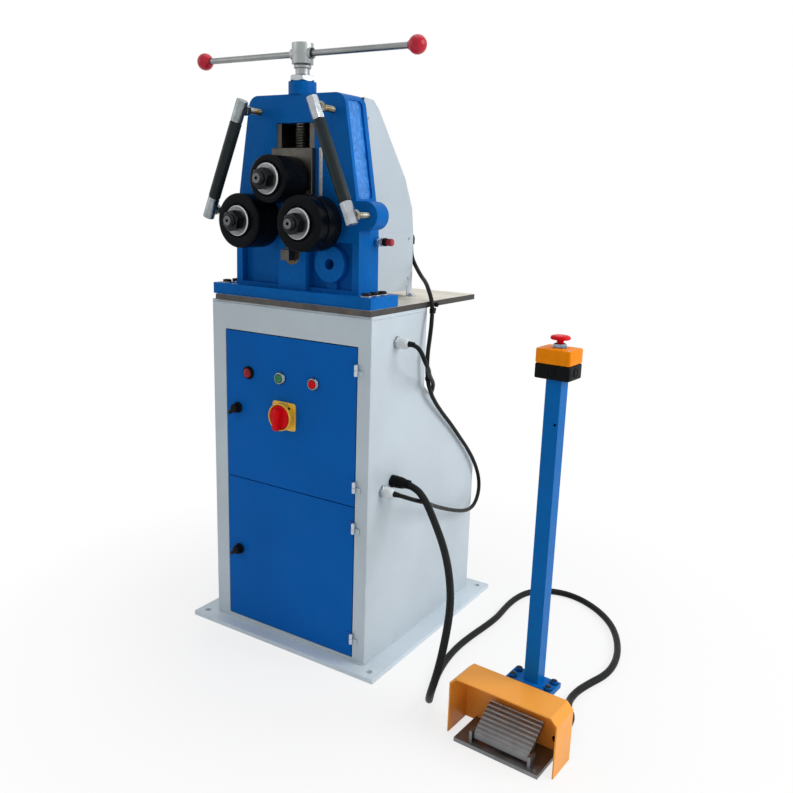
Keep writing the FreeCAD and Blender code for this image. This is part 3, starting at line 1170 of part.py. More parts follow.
def stop_post():
    bracket_top = "(guard_height - foot_thick)"
    left = "(post_u - foot_width / 2)"
    start = "(guard_depth + bracket_gap)"
    upright = station_box(("foot_width", "bracket_thick", bracket_top), left, start, "0")
    shelf = station_box(("foot_width", "foot_deep", "bracket_thick"), left, start,
                        f"{bracket_top} - bracket_thick")
    foot = station_box(("foot_width", "foot_deep", "bracket_thick"), left, start, "0")
    spots = [(f"post_u + {su} * (foot_width / 2 - foot_edge_u)",
              f"{start} + foot_deep / 2 + {sv} * (foot_deep / 2 - foot_edge_v)")
             for su in (-1, 1) for sv in (-1, 1)]
    holes, post_holes = [[station_rod_z("station_bolt_r + entry_fit", "4 * over", u, v,
                                        f"{bracket_top} - 2 * over") for u, v in spots]
                         for _ in range(2)]
    bracket = carve(join(upright, shelf, foot), *holes)
    plate = station_box(("foot_width", "foot_deep", "foot_thick"), left, start,
                        bracket_top)
    tube = station_box(("post_side", "post_side", "post_height + foot_thick"),
                       "post_u - post_side / 2", "post_v - post_side / 2", bracket_top)
    room = station_box(("post_side - 2 * post_wall", "post_side - 2 * post_wall",
                        "2 * post_height"),
                       "post_u - post_side / 2 + post_wall", "post_v - post_side / 2 + post_wall",
                       f"{bracket_top} - over")
    small_hole = station_rod("post_hole_r", "post_side", "post_u + post_hole_side",
                             "post_v - post_side", "guard_height + post_height - post_hole_drop",
                             True)
    node("stop_post", carve(join(plate, tube), room, small_hole, *post_holes))
    bolts = [join(station_rod_z("station_bolt_r", "bolt_long", u, v,
                                "guard_height + station_bolt / 2 - bolt_long"),
                  station_rod_z("bolt_cap_r", "station_bolt", u, v, "guard_height"))
             for u, v in spots]
    node("post_bracket", group(bracket, *bolts))


def stop_box():
    low = "(guard_height + post_height)"
    left = "(post_u - box_width / 2)"
    near = "(post_v - box_deep / 2)"
    base = station_box(("box_width", "box_deep", "box_low"), left, near, low)
    inside = ("box_width - 2 * box_wall", "box_deep - 2 * box_wall")
    room = station_box((*inside, "box_low"), f"{left} + box_wall", f"{near} + box_wall",
                       f"{low} + box_wall")
    node("stop_box_base", carve(base, room))
    lid_z = f"({low} + box_low)"
    lid = station_box(("box_width", "box_deep", "box_high"), left, near, lid_z)
    hollow = station_box((*inside, "box_high - box_wall"), f"{left} + box_wall",
                         f"{near} + box_wall", lid_z)
    collar_z = f"({lid_z} + box_high)"
    collar = station_rod_z("stop_collar_r", "stop_collar", "post_u", "post_v", collar_z)
    bore = station_rod_z("stop_stem_r + entry_fit", "box_high + stop_collar + over", "post_u",
                         "post_v", f"{collar_z} - box_high / 2")
    node("stop_box_lid", carve(join(lid, collar), hollow, bore))
    head_z = f"({collar_z} + stop_collar + stop_gap)"
    head = station_rod_z("stop_head_r", "stop_head", "post_u", "post_v", head_z)
    stem = station_rod_z("stop_stem_r", "stop_stem_in + stop_collar + stop_gap + stop_stem_lap",
                         "post_u", "post_v", f"{collar_z} - stop_stem_in")
    node("stop_button_head", join(head, stem))


# ---------------------------------------------------------------- flexible leads

def tube(label, points, radius):
    """A round tube along straight runs joined by tangent arcs as large as the runs allow."""
    shift = float(dim.front_lap) - float(dim.base_depth) / 2
    path = [FreeCAD.Vector(x, y + shift, z) for x, y, z in points]
    edges, radii = [], []
    start = path[0]
    for before, corner, after in zip(path, path[1:], path[2:]):
        back, ahead = before - corner, after - corner
        turn = math.pi - back.getAngle(ahead)
        reach = 0.45 * min(back.Length, ahead.Length)
        radii.append(reach / math.tan(turn / 2))
        into = corner + back.normalize() * reach
        out = corner + ahead.normalize() * reach
        middle = corner - (corner - (into + out) * 0.5)
        bow = radii[-1] * (1 / math.cos(turn / 2) - 1)
        top = corner + (middle - corner).normalize() * bow
        edges.append(Part.LineSegment(start, into).toShape())
        edges.append(Part.Arc(into, top, out).toShape())
        start = out
    edges.append(Part.LineSegment(start, path[-1]).toShape())
    wire = Part.Wire(edges)
    section = Part.Wire(Part.Circle(path[0], path[1] - path[0], radius).toShape())
    solid = wire.makePipeShell([section], True, False)
    expected = math.pi * radius * radius * wire.Length
    print(f"{label}: length {wire.Length:.0f}, volume / expected {solid.Volume / expected:.4f}, "
          f"radii {[round(r) for r in radii]}")
    lead = doc.addObject("Part::Feature", "Lead")
    lead.Shape = solid
    node(label, lead)


def leads():
    tube("cover_lead", cover_lead_route, float(dim.cable_r))
    tube("motor_lead", motor_lead_route, float(dim.cable_r))
    tube("pedal_hose", hose_route, float(dim.hose_r))


def write_steps():
    doc.recompute()
    for thing in doc.Objects:
        if "Invalid" in thing.State or "Error" in thing.State:
            raise RuntimeError(f"{thing.Name} ({thing.Label}) did not compute: {thing.State}")
    os.makedirs("parts", exist_ok=True)
    for label, thing in nodes.items():
        shape = thing.Shape
        if shape.isNull() or not shape.isValid() or not shape.Solids:
            raise RuntimeError(f"{label} has no valid solid")
        shape.exportStep(f"parts/{label}.step")
    print(f"{len(nodes)} nodes written")


def main():
    base_plate()
    cabinet_front()
    cabinet_sides()
    cabinet_back()
    cabinet_shelf()
    deck_plate()
    hinge_pins()
    doors()
    latches()
    door_controls()
    frame_casting()
    casting_fasteners()
    bearing_plate()
    frame_bushes()
    slide_rails()
    scale_strip()
    lubricator()
    slider()
    spindle()
    t_bar()
    shafts()
    guides()
    rear_cover()
    drive_chain()
    drive_unit()
    electric_panel()
    cable_entries()
    pedal_guard()
    pedal_base()
    foot_pedal()
    stop_post()
    stop_box()
    leads()
    write_steps()


main()
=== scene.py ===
import json
import math

import bmesh
import bpy
import numpy as np
from mathutils import Matrix

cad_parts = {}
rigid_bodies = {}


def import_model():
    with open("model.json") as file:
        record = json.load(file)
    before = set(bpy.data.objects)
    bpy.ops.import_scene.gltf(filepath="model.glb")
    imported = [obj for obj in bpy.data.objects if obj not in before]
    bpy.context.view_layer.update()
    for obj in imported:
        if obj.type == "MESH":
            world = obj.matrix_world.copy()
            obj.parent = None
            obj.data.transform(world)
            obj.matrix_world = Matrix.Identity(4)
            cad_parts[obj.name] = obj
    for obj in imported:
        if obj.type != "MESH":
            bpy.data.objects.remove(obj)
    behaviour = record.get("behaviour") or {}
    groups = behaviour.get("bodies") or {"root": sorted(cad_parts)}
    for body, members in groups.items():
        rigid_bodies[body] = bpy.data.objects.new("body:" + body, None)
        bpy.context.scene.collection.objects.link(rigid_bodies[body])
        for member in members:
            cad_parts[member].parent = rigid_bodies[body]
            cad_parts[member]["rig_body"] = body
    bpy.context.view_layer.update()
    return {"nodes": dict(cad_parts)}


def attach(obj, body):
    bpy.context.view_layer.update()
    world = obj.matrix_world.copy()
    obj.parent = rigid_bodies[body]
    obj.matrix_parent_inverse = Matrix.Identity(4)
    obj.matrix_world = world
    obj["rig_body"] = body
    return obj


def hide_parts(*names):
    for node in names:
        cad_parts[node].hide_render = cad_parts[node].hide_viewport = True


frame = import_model()
nodes = frame["nodes"]
print("frame loaded:", len(nodes), "nodes")

toRight, toBack, toTop = np.eye(3)
toFront = -toBack

# Places below are in millimetres: x, distance behind the cabinet's front, height.
cabinetFront = -234


def spot(x, behind, z):
    return np.array((x, behind + cabinetFront, z)) / 1000


# A place moved by millimetres to the right, to the back and up.
def moved(at, x=0, y=0, z=0):
    return at + np.array((x, y, z)) / 1000


# Places on a grid: steps in millimetres along two ways from a place.
def grid(at, way, steps, otherWay, otherSteps):
    return [at + (a * way + b * otherWay) / 1000 for a in steps for b in otherSteps]


# Camera
view = {"at": (1.0746, -1.5273, 0.9640), "turn": 31.95, "down": 13.34, "roll": 1.83, "lens": 37.376}


# Sets a camera or lamp at a place, its own X, Y and Z along three ways.
def stand(thing, x, y, z, at):
    pose = np.eye(4)
    pose[:3] = np.stack([x, y, z, at], 1)
    thing.matrix_world = Matrix(pose.tolist())
    bpy.context.scene.collection.objects.link(thing)


def makeCamera():
    turn, down, roll = (math.radians(view[key]) for key in ("turn", "down", "roll"))
    right = np.array((math.cos(turn), math.sin(turn), 0))
    ahead = np.array((-math.sin(turn) * math.cos(down), math.cos(turn) * math.cos(down),
                      -math.sin(down)))
    up = np.cross(right, ahead)
    lens = bpy.data.cameras.new("camera")
    lens.lens = view["lens"]
    lens.sensor_width = 36
    lens.sensor_fit = "HORIZONTAL"
    lens.clip_start = 0.01
    camera = bpy.data.objects.new("camera", lens)
    stand(camera, right * math.cos(roll) + up * math.sin(roll),
          up * math.cos(roll) - right * math.sin(roll), -ahead, view["at"])
    bpy.context.scene.camera = camera


makeCamera()

# Finishes: each maker fills one entry of looks.
looks = {}


def startFinish(name, colour, rough, metal=0.0, gloss=0.5):
    finish = looks[name] = bpy.data.materials.new(name)
    finish.use_nodes = True
    finish.diffuse_color = (*colour, 1)
    tree = finish.node_tree
    shader = tree.nodes["Principled BSDF"]
    for key, value in (("Base Color", (*colour, 1)), ("Roughness", rough), ("Metallic", metal),
                       ("Specular IOR Level", gloss)):
        shader.inputs[key].default_value = value
    return tree, shader


# The outputs of a new node whose inputs are values or other nodes' sockets.
def joined(tree, kind, inputs, **settings):
    node = tree.nodes.new("ShaderNode" + kind)
    for key, value in settings.items():
        setattr(node, key, value)
    for key, value in inputs.items():
        if isinstance(value, bpy.types.NodeSocket):
            tree.links.new(value, node.inputs[key])
        else:
            node.inputs[key].default_value = value
    return node.outputs


# The object's own coordinates in metres, taken from a centre and stretched along each axis.
def objectPlace(tree, stretch=(1, 1, 1), centre=(0, 0, 0)):
    shift = [-c * s for c, s in zip(centre, stretch)]
    return joined(tree, "Mapping", {"Vector": joined(tree, "TexCoord", {})["Object"],
                                    "Scale": stretch, "Location": shift})["Vector"]


# A field of patches about "size" millimetres across, from 0 to 1.
def patches(tree, size, detail, stretch=(1, 1, 1)):
    return joined(tree, "TexNoise", {"Scale": 1000 / size, "Detail": detail,
                                     "Vector": objectPlace(tree, stretch)})["Fac"]


def remap(tree, field, low, high, fieldLow=0.35, fieldHigh=0.65):
    return joined(tree, "MapRange", {"Value": field, "From Min": fieldLow, "From Max": fieldHigh,
                                     "To Min": low, "To Max": high})["Result"]


# Patches spread over "levels": low, high and perhaps the field's own low and high.
def speckled(tree, size, detail, *levels):
    return remap(tree, patches(tree, size, detail), *levels)


def calculated(tree, operation, first, second):
    return joined(tree, "Math", {0: first, 1: second}, operation=operation)["Value"]


# Length of a vector socket.
def distance(tree, place):
    return joined(tree, "VectorMath", {0: place}, operation="LENGTH")["Value"]


# Colour "first" where the field is 0 and "second" where it is 1; either may be a socket.
def tinted(tree, field, first, second):
    first, second = ((*c, 1) if isinstance(c, tuple) else c for c in (first, second))
    return joined(tree, "Mix", {"Factor": field, 6: first, 7: second}, data_type="RGBA")[2]


def scaled(colour, by):
    return tuple(min(1.0, channel * by) for channel in colour)


# A colour that drifts between a darker and a paler share of itself.
def drifting(tree, colour, size, detail, dark, pale):
    return tinted(tree, speckled(tree, size, detail, 0, 1), scaled(colour, dark),
                  scaled(colour, pale))


# Colour, roughness and layers of relief; a layer is a field and its height in millimetres.
def dressed(tree, shader, colour, rough, *layers):
    sockets = {"Base Color": colour, "Roughness": rough}
    for field, height in layers:
        under = {"Normal": sockets["Normal"]} if "Normal" in sockets else {}
        sockets["Normal"] = joined(tree, "Bump", {"Distance": height / 1000, "Height": field,
                                                  **under})["Normal"]
    for key, socket in sockets.items():
        tree.links.new(socket, shader.inputs[key])


# Sprayed paint on sheet: slight shade drift, orange peel, faint rubbed and dusty places.
def sprayPaint(name, colour, rough=0.36, gloss=0.25, dust=0.05):
    tree, shader = startFinish(name, colour, rough, gloss=gloss)
    drift = drifting(tree, colour, 220, 4, 0.94, 1.05)
    soiled = tinted(tree, speckled(tree, 60, 7, 0, dust, 0.50, 0.72), drift, (0.30, 0.28, 0.25))
    nicked = tinted(tree, speckled(tree, 3.5, 2, 0, 0.35, 0.79, 0.82), soiled, scaled(colour, 0.5))
    dressed(tree, shader, nicked, speckled(tree, 34, 5, rough - 0.05, rough + 0.09),
            (patches(tree, 2.0, 1), 0.02), (patches(tree, 90, 2), 0.06))


# Thick enamel over sand-cast iron: rolling surface and pits; paler high spots, a painted highlight,
# and darker pits, a painted shade in the hollows.
def castPaint(name, colour, rough=0.34, gloss=0.25, roll=0.45, pale=0.35):
    tree, shader = startFinish(name, colour, rough, gloss=gloss)
    rolling, pits = patches(tree, 8, 3), patches(tree, 3.0, 2)
    drift = drifting(tree, colour, 90, 4, 0.88, 1.10)
    # Paler colour on the high spots of the rolling surface: a painted highlight.
    highSpotsPaintedHighlight = tinted(tree, remap(tree, rolling, 0, pale, 0.46, 0.66), drift,
                     tuple(min(1, 1.6 * c + 0.05) for c in colour))
    # Darker colour in the pits: painted shade in the hollows.
    pitsPaintedShade = tinted(tree, remap(tree, pits, 0.45, 0, 0.24, 0.34), highSpotsPaintedHighlight, scaled(colour, 0.45))
    dressed(tree, shader, pitsPaintedShade, speckled(tree, 14, 4, rough - 0.06, rough + 0.12),
            (rolling, roll), (pits, 0.12), (patches(tree, 1.1, 2), 0.02))


# Cut or ground steel: long fine scratches along one way, cloudy oil film, small rust spots.
def millSteel(name, colour, rough=0.38, grain=(1, 14, 1), spots=0.2):
    tree, shader = startFinish(name, colour, rough, metal=1.0)
    scratches = patches(tree, 9, 6, grain)
    lined = tinted(tree, remap(tree, scratches, 0, 0.35), drifting(tree, colour, 60, 5, 0.88, 1.08),
                   scaled(colour, 0.78))
    spotted = tinted(tree, speckled(tree, 14, 8, 0, spots, 0.60, 0.74), lined, (0.16, 0.10, 0.06))
    dressed(tree, shader, spotted, speckled(tree, 22, 6, rough - 0.06, rough + 0.12),
            (scratches, 0.012), (patches(tree, 1.5, 3), 0.006))


# Lathe-turned steel: fine rings about an axis along Y through the centre; past "edge" mm a painted
# highlight makes the rim paler.
def turnedSteel(name, colour, centre, rough, metal=1.0, rings=0.012, gloss=0.5, edge=0, bright=1.0):
    tree, shader = startFinish(name, colour, rough, metal, gloss)
    wobble = calculated(tree, "MULTIPLY", patches(tree, 30, 2), 0.0006)
    offset = objectPlace(tree, (1, 0, 1), (centre[0], 0, centre[2]))
    radius = calculated(tree, "ADD", distance(tree, offset), wobble)
    waves = calculated(tree, "SINE", calculated(tree, "MULTIPLY", radius, 9000.0), 0)
    wornAndPaintedRimHighlight = tinted(tree, speckled(tree, 10, 7, 0, 0.3, 0.60, 0.74),
                  drifting(tree, colour, 35, 5, 0.85, 1.15), scaled(colour, 1.8))
    # A painted highlight: the rim past "edge" mm turns paler, as a chamfer catching the lamp.
    if edge:
        outer = remap(tree, radius, 0, 1, edge / 1000 - 0.0004, edge / 1000 + 0.0006)
        wornAndPaintedRimHighlight = tinted(tree, outer, wornAndPaintedRimHighlight, scaled(colour, bright))
    dressed(tree, shader, wornAndPaintedRimHighlight, speckled(tree, 18, 6, rough - 0.05, rough + 0.1),
            (remap(tree, waves, 0, 1, -1, 1), rings), (patches(tree, 2.5, 3), 0.012))


# Plate whose tint drifts between two colours, or one colour and a share of it, with dull stains.
def platedSteel(name, colour, tint=0.85, rough=0.30, stains=0.25):
    tree, shader = startFinish(name, colour, rough, metal=1.0)
    other = tint if isinstance(tint, tuple) else scaled(colour, tint)
    drift = tinted(tree, speckled(tree, 16, 4, 0, 1, 0.38, 0.62), colour, other)
    stained = tinted(tree, speckled(tree, 4, 6, 0, stains, 0.62, 0.76), drift, scaled(colour, 0.5))
    dressed(tree, shader, stained, speckled(tree, 7, 4, rough - 0.06, rough + 0.12),
            (patches(tree, 0.8, 3), 0.006))


# Moulded plastic or rubber: spark-eroded grain, faint shade drift, finger marks in the gloss.
def moulded(name, colour, rough=0.38, grain=0.015, gloss=0.35, marks=0.06):
    tree, shader = startFinish(name, colour, rough, gloss=gloss)
    marked = tinted(tree, speckled(tree, 7, 8, 0, marks, 0.58, 0.76),
                    drifting(tree, colour, 25, 4, 0.90, 1.08), (0.45, 0.43, 0.40))
    dressed(tree, shader, marked, speckled(tree, 12, 5, rough - 0.06, rough + 0.1),
            (patches(tree, 0.9, 2), grain))


# Name: maker, colour, roughness (after the tint on plate), then what the maker takes next.
finishes = {
    "greySheetPaint": (sprayPaint, (0.56, 0.64, 0.70), 0.38),
    # The cover grey is the sheet grey made darker: painted shade.
    "greyCoverPaint": (sprayPaint, (0.49, 0.565, 0.625), 0.40),
    # The base grey is the sheet grey made paler: painted light.
    "greyBasePaint": (sprayPaint, (0.66, 0.755, 0.825), 0.38),
    "blueDoorPaint": (sprayPaint, (0.001, 0.120, 0.47), 0.34, 0.05, 0.006),
    "bluePostPaint": (sprayPaint, (0.001, 0.140, 0.47), 0.30, 0.06, 0.006),
    "orangeGuardPaint": (sprayPaint, (0.93, 0.37, 0.045), 0.36, 0.3, 0.02),
    "motorEnamel": (castPaint, (0.10, 0.14, 0.20), 0.42, 0.25, 0.45, 0.15),
    "blueCastEnamel": (castPaint, (0.001, 0.125, 0.45), 0.36, 0.05, 0.30, 0.05),
    # The side pocket's enamel: a paler, strongly mottled colour that is a painted highlight.
    "blueCastPocket": (castPaint, (0.014, 0.19, 0.60), 0.30, 0.5, 0.9, 0.6),
    "deckPlateTop": (millSteel, (0.66, 0.62, 0.54), 0.46, (1, 10, 1), 0.2),
    "deckPlateEdge": (millSteel, (0.10, 0.095, 0.09), 0.62, (1, 1, 6), 0.8),
    "brightSteel": (millSteel, (0.36, 0.385, 0.385), 0.40, (12, 1, 1), 0.08),
    "oiledSteel": (millSteel, (0.085, 0.08, 0.072), 0.38, (1, 1, 10), 0.2),
    "blackenedSteel": (millSteel, (0.020, 0.021, 0.022), 0.34, (3, 3, 1), 0.05),
    "slidingBarSteel": (millSteel, (0.24, 0.25, 0.25), 0.30, (14, 1, 1), 0.1),
    "zincPlate": (platedSteel, (0.42, 0.45, 0.48)),
    "brightZinc": (platedSteel, (0.50, 0.57, 0.65), 0.9, 0.26, 0.1),
    "leftBlockZinc": (platedSteel, (0.24, 0.27, 0.28), 1.25, 0.34),
    "guideStudZinc": (platedSteel, (0.30, 0.32, 0.29), (0.20, 0.15, 0.07)),
    "bronze": (platedSteel, (0.13, 0.085, 0.05), 0.7, 0.34),
    # The chrome's blue tint is a painted reflection of the blue door.
    "chromedRim": (platedSteel, (0.26, 0.31, 0.36), (0.22, 0.26, 0.31), 0.18, 0.1),
    "blackRubber": (moulded, (0.008, 0.009, 0.009), 0.42, 0.03, 0.12, 0.02),
    "blackRollerSleeve": (moulded, (0.018, 0.026, 0.028), 0.32, 0.02, 0.12, 0.02),
    "redKnobResin": (moulded, (0.52, 0.012, 0.035), 0.18, 0.004, 0.25, 0.02),
    "redButtonPlastic": (moulded, (0.72, 0.003, 0.008), 0.32, 0.008, 0.08, 0.01),
    "greenButtonPlastic": (moulded, (0.008, 0.18, 0.05), 0.30, 0.008, 0.35, 0.02),
    "yellowPlatePlastic": (moulded, (1.0, 0.56, 0.045), 0.36, 0.01, 0.35, 0.03),
    "orangeBoxPlastic": (moulded, (0.95, 0.27, 0.001), 0.40, 0.015, 0.08, 0.01),
    "blackPlastic": (moulded, (0.004, 0.005, 0.006), 0.40, 0.015, 0.06, 0.01),
    "whitePlastic": (moulded, (0.70, 0.72, 0.72), 0.36, 0.01),
    "paleGlandPlastic": (moulded, (0.70, 0.75, 0.77), 0.34, 0.01),
    "oilerCapRed": (moulded, (0.34, 0.015, 0.022), 0.36),
    "castPedalAlloy": (millSteel, (0.20, 0.205, 0.21), 0.46, (1, 1, 1), 0.1),
    "pedalBaseSteel": (millSteel, (0.22, 0.23, 0.24), 0.50, (6, 1, 1), 0.1),
    "redLampLens": (moulded, (0.30, 0.004, 0.018), 0.18, 0.004, 0.2, 0.01),
}
for name, (make, *facts) in finishes.items():
    make(name, *facts)
print("finishes made:", len(looks))


# Quads between neighbouring rows and columns of points[row, column]; columns close on themselves.
def skin(points, closed=False):
    rows, columns = points.shape[:2]
    index = np.arange(rows * columns).reshape(rows, columns)
    low = index if closed else index[:-1]
    high = np.roll(index, -1, 0) if closed else index[1:]
    quads = np.stack([low, np.roll(low, -1, 1), np.roll(high, -1, 1), high], -1).reshape(-1, 4)
    faces = quads.tolist()
    if not closed:
        faces += [index[0, ::-1].tolist(), index[-1].tolist()]
    return points.reshape(-1, 3), faces


# Two unit ways square to an axis and to each other.
def across(axis):
    helper = toTop if abs(axis[2]) < 0.9 else toRight
    side = np.cross(helper, axis)
    side /= np.linalg.norm(side)
    return side, np.cross(axis, side)


def fullTurn(steps):
    return np.linspace(0, 2 * np.pi, steps, endpoint=False)


# point = start + along * axis + reach * (cos u * side + sin u * other), in millimetres
def swept(start, axis, reach, along, steps, closed=False, turn=0.0):
    side, other = across(axis)
    heading = fullTurn(steps)[:, None] + math.radians(turn)
    ring = np.cos(heading) * side + np.sin(heading) * other
    reach, along = np.asarray(reach, float) / 1000, np.asarray(along, float) / 1000
    return skin(start + along[:, None, None] * axis + reach[:, :, None] * ring, closed)


# The same for a profile of (radius, along) that is round all the way.
def turnedShape(profile, start, axis, steps=32, closed=False):
    profile = np.asarray(profile, float)
    return swept(start, axis, profile[:, :1], profile[:, 1], steps, closed)


# A sharp-edged rod: the radius from first to last along the axis, closed by both faces.
def plainRod(radius, first, last, start, axis):
    return turnedShape([(0.01, first), (radius, first), (radius, last), (0.01, last)], start, axis)


# Every inner corner P of a profile becomes (1-s)^2 A + 2s(1-s) P + s^2 B, A and B on its two sides.
def eased(corners, radius, parts, closed):
    corners = np.asarray(corners, float)

    def beside(other):
        gap = np.linalg.norm(other - corners, axis=1, keepdims=True)
        return corners + (other - corners) * np.minimum(radius / np.maximum(gap, 1e-6), 0.45)

    before, after = (beside(np.roll(corners, way, 0))[:, None] for way in (1, -1))
    s = np.linspace(0, 1, parts + 1)[None, :, None]
    curve = (1 - s) ** 2 * before + 2 * s * (1 - s) * corners[:, None] + s ** 2 * after
    if closed:
        return curve.reshape(-1, 2)
    return np.concatenate([corners[:1], curve[1:-1].reshape(-1, 2), corners[-1:]])


# A turned shape with its profile's corners eased: solid, and with a bore.
def solidShape(corners, ease, start, axis, steps, parts=3):
    return turnedShape(eased(corners, ease, parts, False), start, axis, steps)


def boredShape(corners, ease, start, axis, steps, parts=3):
    return turnedShape(eased(corners, ease, parts, True), start, axis, steps, closed=True)


# Depth of "count" ribs at each of "steps" places: a cosine, cut off below 0 and above 1.
def ribs(count, steps, depth, swing=1.0, rest=0.0):
    return depth * np.clip(rest + swing * np.cos(fullTurn(steps) * count), 0, 1)


# radius = the row's radius - its share * the ribs' depth, for rows of (radius, along, share)
def ribbedShape(start, axis, rows, depths, closed=False):
    radius, along, share = np.array(rows, float).T
    reach = radius[:, None] - share[:, None] * depths
    return swept(start, axis, reach, along, len(depths), closed)


# Distance from the middle to a hexagon's side: half the flats over the cosine from its middle.
def hexagonReach(steps, flats):
    return flats / 2 / np.cos((fullTurn(steps) + math.pi / 6) % (math.pi / 3) - math.pi / 6)


# radius = min(hexagon, chamfer cone) from one face to the other, then back through the bore
def hexShape(start, axis, flats, thick, bore=0.0, turn=0.0, steps=72):
    cut = min(0.07 * flats, 0.45 * thick)
    along = np.concatenate([np.linspace(0, cut, 4), np.linspace(thick - cut, thick, 4)])
    cone = 0.475 * flats + np.minimum(along, thick - along) / math.tan(math.radians(30))
    reach = np.minimum(hexagonReach(steps, flats)[None, :], cone[:, None])
    if bore:
        inner = np.array(((bore + 0.6, thick), (bore, thick - 0.6), (bore, 0.6), (bore + 0.6, 0)))
        reach = np.concatenate([reach, np.repeat(inner[:, :1], steps, 1)])
        along = np.concatenate([along, inner[:, 1]])
    return swept(start, axis, reach, along, steps, bool(bore), turn)


# A round head with a plain rim and a hexagon socket sunk in its top.
def capScrewShape(start, axis, radius, tall, socket, deep, steps=48):
    rim, hexagon = np.full(steps, float(radius)), hexagonReach(steps, socket)
    reach = np.array([rim, rim, rim - 0.9, hexagon + 0.5, hexagon, hexagon])
    return swept(start, axis, reach, (0, tall - 1, tall, tall, tall - 0.5, tall - deep), steps)


# The same screw at several places.
def capScrews(places, axis, *size):
    return [capScrewShape(at, axis, *size) for at in places]


# radius = crest - depth * |2 frac(along / pitch - u / 2 pi) - 1|, drawn in at both ends
def threadShape(start, axis, crest, length, pitch, depth, steps=40):
    along = np.linspace(0, length, max(12, int(length / pitch * 8)))
    phase = (along[:, None] / pitch - fullTurn(steps) / (2 * np.pi)) % 1
    fromEnd = np.minimum(along, length - along)[:, None]
    reach = np.minimum(crest - depth * np.abs(2 * phase - 1), crest - depth + fromEnd)
    return swept(start, axis, reach, along, steps)


# centre + wide * sgn(cos u)|cos u|^(2/n) * side + deep * sgn(sin u)|sin u|^(2/n) * other
def loftShape(centres, wide, deep, side, other, squareness, steps=56):
    first, second = (np.sign(f) * np.abs(f) ** (2 / squareness)
                     for f in (np.cos(fullTurn(steps))[:, None], np.sin(fullTurn(steps))[:, None]))
    wide, deep = (np.asarray(size, float)[:, None, None] / 1000 for size in (wide, deep))
    return skin(np.asarray(centres)[:, None] + wide * first * side + deep * second * other)


# A block with every edge rounded: loft rows draw in near both faces like a quarter ellipse.
# Its depth runs across the axis and the side, backwards or upwards.
def pillowShape(start, axis, side, length, wide, deep, ease, squareness, steps=72):
    quarter = np.linspace(0, np.pi / 2, 5)
    near, drawn = ease * (1 - np.cos(quarter)), ease * (1 - np.sin(quarter))
    along = np.concatenate([near, length - near[::-1]])
    drawn = np.concatenate([drawn, drawn[::-1]])
    other = np.cross(axis, side)
    other = other if other.sum() > 0 else -other
    return loftShape(start + along[:, None] / 1000 * axis, wide / 2 - drawn, deep / 2 - drawn, side,
                     other, squareness, steps)


# Merges corners that are closer than "near", then joins flat faces or turns faces outwards.
def cleaned(mesh, near, flatten):
    shell = bmesh.new()
    shell.from_mesh(mesh)
    bmesh.ops.remove_doubles(shell, verts=shell.verts, dist=near)
    if flatten:
        bmesh.ops.dissolve_limit(shell, angle_limit=math.radians(1), verts=shell.verts,
                                 edges=shell.edges)
    else:
        bmesh.ops.recalc_face_normals(shell, faces=shell.faces)
    shell.to_mesh(mesh)
    shell.free()


def placed(name, mesh, finish, node, body, sharp):
    mesh.materials.clear()
    mesh.materials.append(looks[finish])
    mesh.polygons.foreach_set("use_smooth", np.ones(len(mesh.polygons), bool))
    mesh.set_sharp_from_angle(angle=math.radians(sharp))
    thing = bpy.data.objects.new(name, mesh)
    bpy.context.scene.collection.objects.link(thing)
    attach(thing, body)
    if node:
        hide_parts(node)
    return thing


def piece(name, shapes, finish, node=None, body="machine", sharp=34):
    corners, faces, count = [], [], 0
    for points, loops in shapes:
        corners.append(points)
        faces += [[i + count for i in loop] for loop in loops]
        count += len(points)
    mesh = bpy.data.meshes.new(name)
    mesh.from_pydata(np.concatenate(corners).tolist(), [], faces)
    cleaned(mesh, 1e-6, False)
    placed(name, mesh, finish, node, body, sharp)


# A CAD node's merged copy with its edges broken by a bevel, which stands for the node.
def softened(node, width, finish, reshape=None, sharp=30):
    first, *rest = node.split("_")
    name = first + "".join(word.capitalize() for word in rest)
    mesh = nodes[node].data.copy()
    mesh.name = name
    if reshape:
        points = np.zeros(len(mesh.vertices) * 3)
        mesh.vertices.foreach_get("co", points)
        mesh.vertices.foreach_set("co", reshape(points.reshape(-1, 3)).ravel())
    cleaned(mesh, 2e-6, True)
    thing = placed(name, mesh, finish, node, nodes[node]["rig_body"], sharp)
    if width:
        bevel = thing.modifiers.new("edges", "BEVEL")
        bevel.width = width / 1000
        bevel.segments = 2
        bevel.limit_method = "ANGLE"
        bevel.angle_limit = math.radians(sharp)
        bevel.harden_normals = True
        bevel.use_clamp_overlap = True
    return thing


